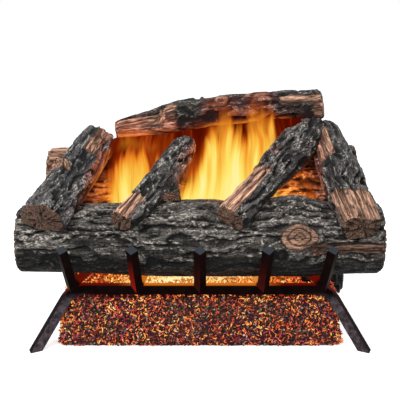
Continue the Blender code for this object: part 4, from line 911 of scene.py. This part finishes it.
sizes = rng.uniform(0.0019, 0.0041, (STRAND_COUNT, 1)) * np.ones((1, 3))
heat = rng.uniform(-0.32, 0.78, STRAND_COUNT)
heat = heat + 0.34 * smooth(0.34, 0.66, warm_patches(places))
heat = heat[:, None] + rng.uniform(-0.35, 0.35, (STRAND_COUNT, 1)) * turn[None]
heat = np.repeat(heat + 0.90 * ember_heat(places)[:, None] ** 0.6, 4, axis=1)
glows = ember_glow(heat)
tints = rng.uniform(0.1, 1.2, (STRAND_COUNT, 1)) * np.array([0.20, 0.055, 0.050])
swarm("ember_strands", strands, faces, places, sizes, tints, glows)

# Flames: burning gas that rises from the burner tubes between the front and the rear
# log and licks the top log. It is no solid: each piece is a thin curtain, whose heat
# falls from its foot to its ragged top in upright streaks, and the heat sets its colour,
# from dark red to pale yellow, and how solid it looks.
flame_paint, nodes, links, shader = new_glowing_paint("flame", 0.0)
shader.inputs["Base Color"].default_value = (0, 0, 0, 1)
shader.inputs["Roughness"].default_value = 1.0
links.new(attribute(nodes, "glow").outputs["Color"], shader.inputs["Emission Color"])
links.new(attribute(nodes, "veil").outputs["Fac"], shader.inputs["Alpha"])

FLAME_HEATS = np.array([0.0, 0.16, 0.34, 0.52, 0.72, 1.0, 1.3])
FLAME_COLOURS = np.array(
    [
        [0.030, 0.000, 0.000],
        [0.140, 0.008, 0.000],
        [0.480, 0.070, 0.006],
        [0.850, 0.250, 0.016],
        [0.960, 0.480, 0.050],
        [1.000, 0.800, 0.150],
        [1.000, 0.930, 0.420],
    ]
)
FLAME_STEP = 0.0015
FLAME_FOOT = 0.090


def flame_curtain(
    name,
    depth,
    foot,
    crown,
    seed,
    heats,
    contrast,
    cover=1.0,
    fades=(0.01, 0.01),
    thin=0.36,
    top=0.01,
    base=0.0,
    turned=False,
):
    """A curtain at y = depth, from the height foot up to crown, a list of (x, z) along
    its top. A turned one stands at x = depth and runs along y instead. Its heat goes from
    the first of heats at the foot to the second at the crown, with the power 0.9 of the
    share of the way up. Streaks of noise, stretched upwards and swaying, grow with
    contrast and with the power 1.2 of that share. The heat falls again close to the crown
    and to the sides, less to the sides of a turned curtain. cover is how solid the
    curtain is where its heat is above thin, and fades, top and base are the distances
    over which it thins out at its sides, its crown and its foot."""
    crown = np.array(crown)
    left, right = crown[0, 0], crown[-1, 0]
    columns = int((right - left) / FLAME_STEP)
    rows = int((crown[:, 1].max() - foot) / FLAME_STEP)
    u, share = np.meshgrid(np.linspace(0, 1, columns), np.linspace(0, 1, rows))
    x = left + (right - left) * u.ravel()
    share = share.ravel()
    zero = np.zeros(len(x))
    ragged = noise(np.column_stack([x / 0.011, zero, zero]), seed + 12) - 0.5
    summit = np.interp(x, crown[:, 0], crown[:, 1]) + min(top, 0.016) * ragged
    z = foot + share * (summit - foot)
    sway = 0.020 * (layered(np.column_stack([x / 0.045, z / 0.085, zero]), seed, 2) - 0.5)
    drift = x + sway * (0.4 + share)
    broad = layered(np.column_stack([drift / 0.021, z / 0.16, zero]), seed + 3, 2)
    fine = layered(np.column_stack([drift / 0.0066, z / 0.085, zero + 5]), seed + 6, 3)
    streak = 1.9 * (broad - 0.5) + (0.5 + 1.3 * share) * (fine - 0.5)
    burn = heats[0] + (heats[1] - heats[0]) * share**0.9
    burn = burn + contrast * streak * share**1.2 * 2
    wave = 0.012 * (layered(np.column_stack([z / 0.03, x / 0.2, zero]), seed + 9, 2) - 0.5)
    side = smooth(0, fades[0], x - left + wave) * smooth(0, fades[1], right - x + wave)
    cooler = 0.85 if turned else 0.30
    burn = np.maximum(burn * (cooler + (1 - cooler) * side), 0.07)
    room = summit - z
    burn = burn * (0.45 + 0.55 * smooth(0, 1.5 * top, room))
    alpha = cover * smooth(0.04, thin, burn) * side
    alpha = alpha * smooth(0, top, room + 0.6 * top * streak)
    alpha = alpha * smooth(-0.001, base, z - foot)
    bent = depth + 0.4 * sway * smooth(0, 0.3, share)
    columns_of = (bent, x, z) if turned else (x, bent, z)
    mesh = bpy.data.meshes.new(name)
    first = (np.arange(rows - 1)[:, None] * columns + np.arange(columns - 1)[None]).ravel()
    faces = np.column_stack([first, first + 1, first + columns + 1, first + columns])
    mesh.from_pydata(np.column_stack(columns_of), [], faces.tolist())
    colour = [np.interp(burn, FLAME_HEATS, FLAME_COLOURS[:, k]) for k in range(3)]
    set_colours(mesh, "glow", np.column_stack(colour))
    set_values(mesh, "veil", alpha)
    mesh.shade_smooth()
    mesh.materials.append(flame_paint)
    piece = bpy.data.objects.new(name, mesh)
    bpy.context.scene.collection.objects.link(piece)
    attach(piece, BODY)


# Behind the flames, a dim solid curtain, dark red and darker towards its top, seen through
# them: partly dim fire, partly painted shade that fills the gaps between the logs
flame_curtain(
    "dim_fire_and_painted_shade_behind",
    0.040,
    0.236,
    [
        (-0.166, 0.262),
        (-0.158, 0.290),
        (-0.148, 0.3065),
        (-0.060, 0.3140),
        (-0.020, 0.3210),
        (0.030, 0.3280),
        (0.080, 0.3340),
        (0.120, 0.3390),
        (0.174, 0.3430),
    ],
    347,
    (0.32, 0.12),
    0.12,
    fades=(0.020, 0.001),
    thin=0.06,
    top=0.001,
    base=0.006,
)
flame_curtain(
    "flames_left",
    0.012,
    FLAME_FOOT,
    [
        (-0.166, 0.205),
        (-0.158, 0.290),
        (-0.135, 0.322),
        (-0.105, 0.326),
        (-0.085, 0.318),
        (-0.066, 0.285),
        (-0.050, 0.240),
    ],
    301,
    (1.45, 0.52),
    0.36,
    fades=(0.020, 0.026),
    top=0.040,
)
flame_curtain(
    "flames_middle",
    0.018,
    FLAME_FOOT,
    [
        (-0.052, 0.205),
        (-0.032, 0.230),
        (-0.013, 0.258),
        (0.004, 0.298),
        (0.020, 0.352),
        (0.045, 0.358),
        (0.062, 0.342),
        (0.080, 0.352),
        (0.105, 0.362),
        (0.130, 0.348),
        (0.150, 0.300),
    ],
    317,
    (1.24, 0.82),
    0.40,
    fades=(0.026, 0.036),
    top=0.045,
)
flame_curtain(
    "flames_right",
    0.010,
    FLAME_FOOT,
    [(0.094, 0.235), (0.112, 0.236), (0.130, 0.222), (0.146, 0.206), (0.158, 0.190)],
    331,
    (1.45, 0.50),
    0.35,
    fades=(0.012, 0.020),
    top=0.020,
)
flame_curtain(
    "flames_far_right",
    0.020,
    FLAME_FOOT,
    [(0.172, 0.190), (0.184, 0.222), (0.196, 0.226), (0.208, 0.200)],
    337,
    (1.15, 0.40),
    0.3,
    fades=(0.016, 0.012),
    top=0.030,
)
# Where the fire licks up the front of the top log, it thins out to veils
flame_curtain(
    "flames_over_top_log",
    0.034,
    0.296,
    [(0.004, 0.340), (0.018, 0.368), (0.040, 0.378), (0.056, 0.370), (0.070, 0.345)],
    359,
    (0.72, 0.42),
    0.26,
    cover=0.56,
    fades=(0.016, 0.020),
    thin=0.60,
    top=0.045,
    base=0.025,
)
flame_curtain(
    "flames_over_top_log_right",
    0.0345,
    0.302,
    [(0.070, 0.350), (0.084, 0.374), (0.102, 0.380), (0.120, 0.376), (0.136, 0.358)],
    367,
    (0.74, 0.42),
    0.26,
    cover=0.56,
    fades=(0.018, 0.020),
    thin=0.60,
    top=0.045,
    base=0.025,
)
flame_curtain(
    "flames_over_top_log_left",
    0.033,
    0.280,
    [(-0.158, 0.316), (-0.130, 0.336), (-0.100, 0.338), (-0.060, 0.320)],
    373,
    (0.56, 0.30),
    0.24,
    cover=0.50,
    fades=(0.020, 0.024),
    thin=0.60,
    top=0.034,
    base=0.022,
)
# Seen from the sides, the fire has depth: curtains that stand across it, each given by
# its x, its height, its half width and its heat at the crown
FIRE_Y = 0.015
FIRE_EDGE = 0.130
FIRE_SHOULDER = 0.20
for number, (depth, summit, wide, crown_heat) in enumerate(
    (
        (-0.140, 0.285, 0.018, 0.36),
        (-0.116, 0.300, 0.022, 0.45),
        (-0.088, 0.275, 0.018, 0.36),
        (-0.012, 0.245, 0.016, 0.85),
        (0.024, 0.300, 0.022, 0.95),
        (0.062, 0.312, 0.024, 0.95),
        (0.098, 0.305, 0.020, 0.90),
        (0.128, 0.225, 0.014, 0.60),
    )
):
    flame_curtain(
        f"flames_across_{number + 1}",
        depth,
        FLAME_FOOT,
        [
            (FIRE_Y - wide, FIRE_EDGE),
            (FIRE_Y - 0.6 * wide, FIRE_SHOULDER + 0.2 * (summit - FIRE_SHOULDER)),
            (FIRE_Y, summit),
            (FIRE_Y + 0.7 * wide, FIRE_SHOULDER + 0.3 * (summit - FIRE_SHOULDER)),
            (FIRE_Y + wide, FIRE_EDGE),
        ],
        401 + number,
        (1.35, crown_heat),
        0.25,
        cover=0.9,
        fades=(0.008, 0.008),
        top=0.030,
        turned=True,
    )
# Under the front log, a low strip of fire shows over the bed
flame_curtain(
    "flames_under_front_log",
    -0.046,
    0.079,
    [(-0.125, 0.090), (-0.100, 0.0985), (-0.010, 0.0985), (0.070, 0.0975), (0.170, 0.092)],
    383,
    (1.35, 1.15),
    0.22,
    fades=(0.035, 0.14),
    top=0.003,
    base=0.016,
)


# Fire light: small warm lamps inside the fire and under the front log, which light the
# logs' inner faces, the bar and the prongs.
def fire_lamp(name, place, power, radius):
    """A small warm lamp that shines all round."""
    data = bpy.data.lights.new(name, "POINT")
    data.energy = power
    data.shadow_soft_size = radius
    data.color = (1.0, 0.36, 0.09)
    lamp = bpy.data.objects.new(name, data)
    lamp.location = place
    bpy.context.scene.collection.objects.link(lamp)


fire_lamp("fire_left", (-0.115, 0.016, 0.215), 0.40, 0.02)
fire_lamp("fire_middle", (0.050, 0.016, 0.235), 0.70, 0.02)
fire_lamp("fire_right", (0.150, 0.016, 0.205), 0.25, 0.02)
fire_lamp("glow_left", (-0.080, -0.030, 0.091), 0.03, 0.004)
fire_lamp("glow_middle", (0.020, -0.030, 0.091), 0.03, 0.004)
fire_lamp("glow_right", (0.130, -0.030, 0.091), 0.03, 0.004)


# Grate, pan and valve: the CAD pieces keep their shapes and get better materials: black
# heat-resistant paint on bar steel and sheet, plated sheet, brass and cast metal.
def solid_paint(name, colour, rough, metal, wear, grain_scale, bump=0.0, gloss_level=0.5):
    """A painted or bare surface, whose colour goes from colour to wear and whose gloss
    changes with slow stains."""
    paint, nodes, links, shader = new_paint(name, gloss_level)
    shader.inputs["Metallic"].default_value = metal
    where = nodes.new("ShaderNodeTexCoord")
    stain = noise_node(nodes, links, where.outputs["Object"], grain_scale, 5).outputs["Fac"]
    worn = spread_between(nodes, links, stain, 0.40, 0.75, 0.0, 1.0)
    links.new(mix_node(nodes, links, worn, colour, wear), shader.inputs["Base Color"])
    gloss = spread_between(nodes, links, stain, 0.0, 1.0, rough - 0.08, rough + 0.12)
    links.new(gloss, shader.inputs["Roughness"])
    if bump:
        bump_node(nodes, links, shader, stain, bump, 0.0005)
    return paint


def fire_lit_steel(name, red, amber):
    """Black heat-resistant paint on bar steel, with the fire's light painted on as glow:
    faces that look up inside the grate are amber near its middle and dark red beyond, and
    faces that look left are red where they are low and near the middle. The legs' front
    faces are lighter purple-grey in streaks, partly wear and partly painted light, and faces
    that look up at the prongs' tips carry a painted blue-grey highlight."""
    black = (0.0030, 0.0006, 0.0006)
    paint = solid_paint(name, black, 0.55, 0.0, (0.008, 0.003, 0.003), 90, 0.3)
    paint.cycles.emission_sampling = "NONE"
    nodes = paint.node_tree.nodes
    links = paint.node_tree.links
    shader = nodes["Principled BSDF"]
    shader.inputs["Specular IOR Level"].default_value = 0.02
    shader.inputs["Emission Strength"].default_value = 1.0
    where = nodes.new("ShaderNodeTexCoord")
    apart = nodes.new("ShaderNodeSeparateXYZ")
    facing = nodes.new("ShaderNodeNewGeometry")
    turned = nodes.new("ShaderNodeSeparateXYZ")
    links.new(where.outputs["Object"], apart.inputs[0])
    links.new(facing.outputs["Normal"], turned.inputs[0])

    def times(first, second):
        """One share times another."""
        return product_node(nodes, links, first, second)

    wide = nodes.new("ShaderNodeMath")
    wide.operation = "ABSOLUTE"
    links.new(apart.outputs["X"], wide.inputs[0])
    middle = spread_between(nodes, links, wide.outputs["Value"], 0.085, 0.135, 1.0, 0.0)
    inside = spread_between(nodes, links, apart.outputs["Y"], -0.118, -0.108, 0.0, 1.0)
    upward = spread_between(nodes, links, turned.outputs["Z"], 0.25, 0.65, 0.0, 1.0)
    up_inside = times(inside, upward)
    leftward = spread_between(nodes, links, turned.outputs["X"], -0.35, -0.65, 0.0, 1.0)
    low = spread_between(nodes, links, apart.outputs["Z"], 0.150, 0.090, 0.0, 1.0)
    near = spread_between(nodes, links, wide.outputs["Value"], 0.10, 0.18, 1.0, 0.1)
    seen_red = times(times(leftward, low), near)
    both = nodes.new("ShaderNodeMix")
    both.data_type = "RGBA"
    both.blend_type = "ADD"
    both.inputs[0].default_value = 1.0
    fading = mix_node(nodes, links, middle, (0.110, 0.004, 0.001), amber)
    links.new(scaled_node(nodes, links, fading, up_inside), both.inputs[6])
    links.new(mix_node(nodes, links, seen_red, (0, 0, 0), red), both.inputs[7])
    links.new(both.outputs[2], shader.inputs["Emission Color"])

    # The legs' front faces: streaks of wear, and painted light that makes the faces towards
    # the lamps lighter purple-grey
    streaks = noise_node(nodes, links, where.outputs["Object"], 160, 4)
    wear_streaks = spread_between(nodes, links, streaks.outputs["Fac"], 0.40, 0.70, 0.25, 1.0)
    outer = spread_between(nodes, links, wide.outputs["Value"], 0.165, 0.190, 0.0, 1.0)
    frontward = spread_between(nodes, links, turned.outputs["Y"], -0.35, -0.70, 0.0, 1.0)
    below = spread_between(nodes, links, apart.outputs["Z"], 0.080, 0.066, 0.0, 1.0)
    lit_worn_leg_front = times(times(times(outer, frontward), below), wear_streaks)
    painted = shader.inputs["Base Color"].links[0].from_socket
    worn = mix_node(nodes, links, lit_worn_leg_front, painted, (0.110, 0.088, 0.098))
    # Painted highlight: faces that look up at the prongs' tips are blue-grey
    tips = spread_between(nodes, links, apart.outputs["Z"], 0.120, 0.128, 0.0, 1.0)
    tip_highlight = mix_node(nodes, links, times(tips, upward), worn, (0.040, 0.046, 0.055))
    links.new(tip_highlight, shader.inputs["Base Color"])
    return paint


FINISHES = {
    "black_steel": solid_paint(
        "black steel", (0.003, 0.002, 0.002), 0.55, 0.0, (0.008, 0.006, 0.006), 90, 0.3, 0.12
    ),
    "galvanised_sheet": solid_paint(
        "plated sheet", (0.42, 0.42, 0.43), 0.42, 0.9, (0.55, 0.55, 0.54), 60
    ),
    "bare_tube": solid_paint(
        "heated steel", (0.20, 0.18, 0.17), 0.5, 0.85, (0.30, 0.22, 0.17), 70, 0.15
    ),
    "sand": solid_paint(
        "dry sand", (0.52, 0.44, 0.32), 0.9, 0.0, (0.62, 0.54, 0.42), 900, 0.4
    ),
    "die_cast_body": solid_paint(
        "cast metal", (0.50, 0.50, 0.51), 0.45, 0.9, (0.40, 0.40, 0.41), 300, 0.2
    ),
    "brass": solid_paint("brass", (0.70, 0.50, 0.20), 0.30, 1.0, (0.58, 0.42, 0.20), 120),
    "black_plastic": solid_paint(
        "black plastic", (0.008,) * 3, 0.45, 0.0, (0.013,) * 3, 400, 0.0, 0.2
    ),
    "aluminium_tube": solid_paint(
        "aluminium", (0.66, 0.67, 0.68), 0.32, 1.0, (0.56, 0.57, 0.58), 80
    ),
    "copper_lead": solid_paint(
        "copper", (0.58, 0.28, 0.16), 0.34, 1.0, (0.42, 0.22, 0.14), 80
    ),
    "white_ceramic": solid_paint(
        "glazed ceramic", (0.82, 0.81, 0.77), 0.30, 0.0, (0.74, 0.72, 0.66), 60
    ),
    "zinc_screw": solid_paint(
        "zinc plate", (0.55, 0.55, 0.53), 0.35, 1.0, (0.48, 0.48, 0.45), 150
    ),
}
for part in frame["record"]["subparts"]:
    finish = FINISHES.get(part["material_slot"])
    if finish:
        node = frame["nodes"][part["node"]]
        for place in node.material_slots:
            place.material = finish

FIRE_LIT = {
    "grate_front_bar": ((0.0, 0.0, 0.0), (0.62, 0.145, 0.010)),
    "grate_runner_1": ((0.010, 0.001, 0.001), (0.30, 0.020, 0.006)),
    "grate_runner_2": ((0.260, 0.008, 0.004), (0.60, 0.16, 0.012)),
    "grate_runner_3": ((0.030, 0.003, 0.002), (0.60, 0.16, 0.012)),
    "grate_runner_4": ((0.050, 0.003, 0.002), (0.70, 0.28, 0.05)),
    "grate_runner_5": ((0.012, 0.001, 0.001), (0.55, 0.14, 0.02)),
}
for name, (red, amber) in FIRE_LIT.items():
    for place in frame["nodes"][name].material_slots:
        bar = name.removeprefix("grate_")
        place.material = fire_lit_steel(f"fire-lit steel {bar}", red, amber)

plain = [[list(map(float, corner)) for corner in box] for box in (cad_box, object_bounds())]
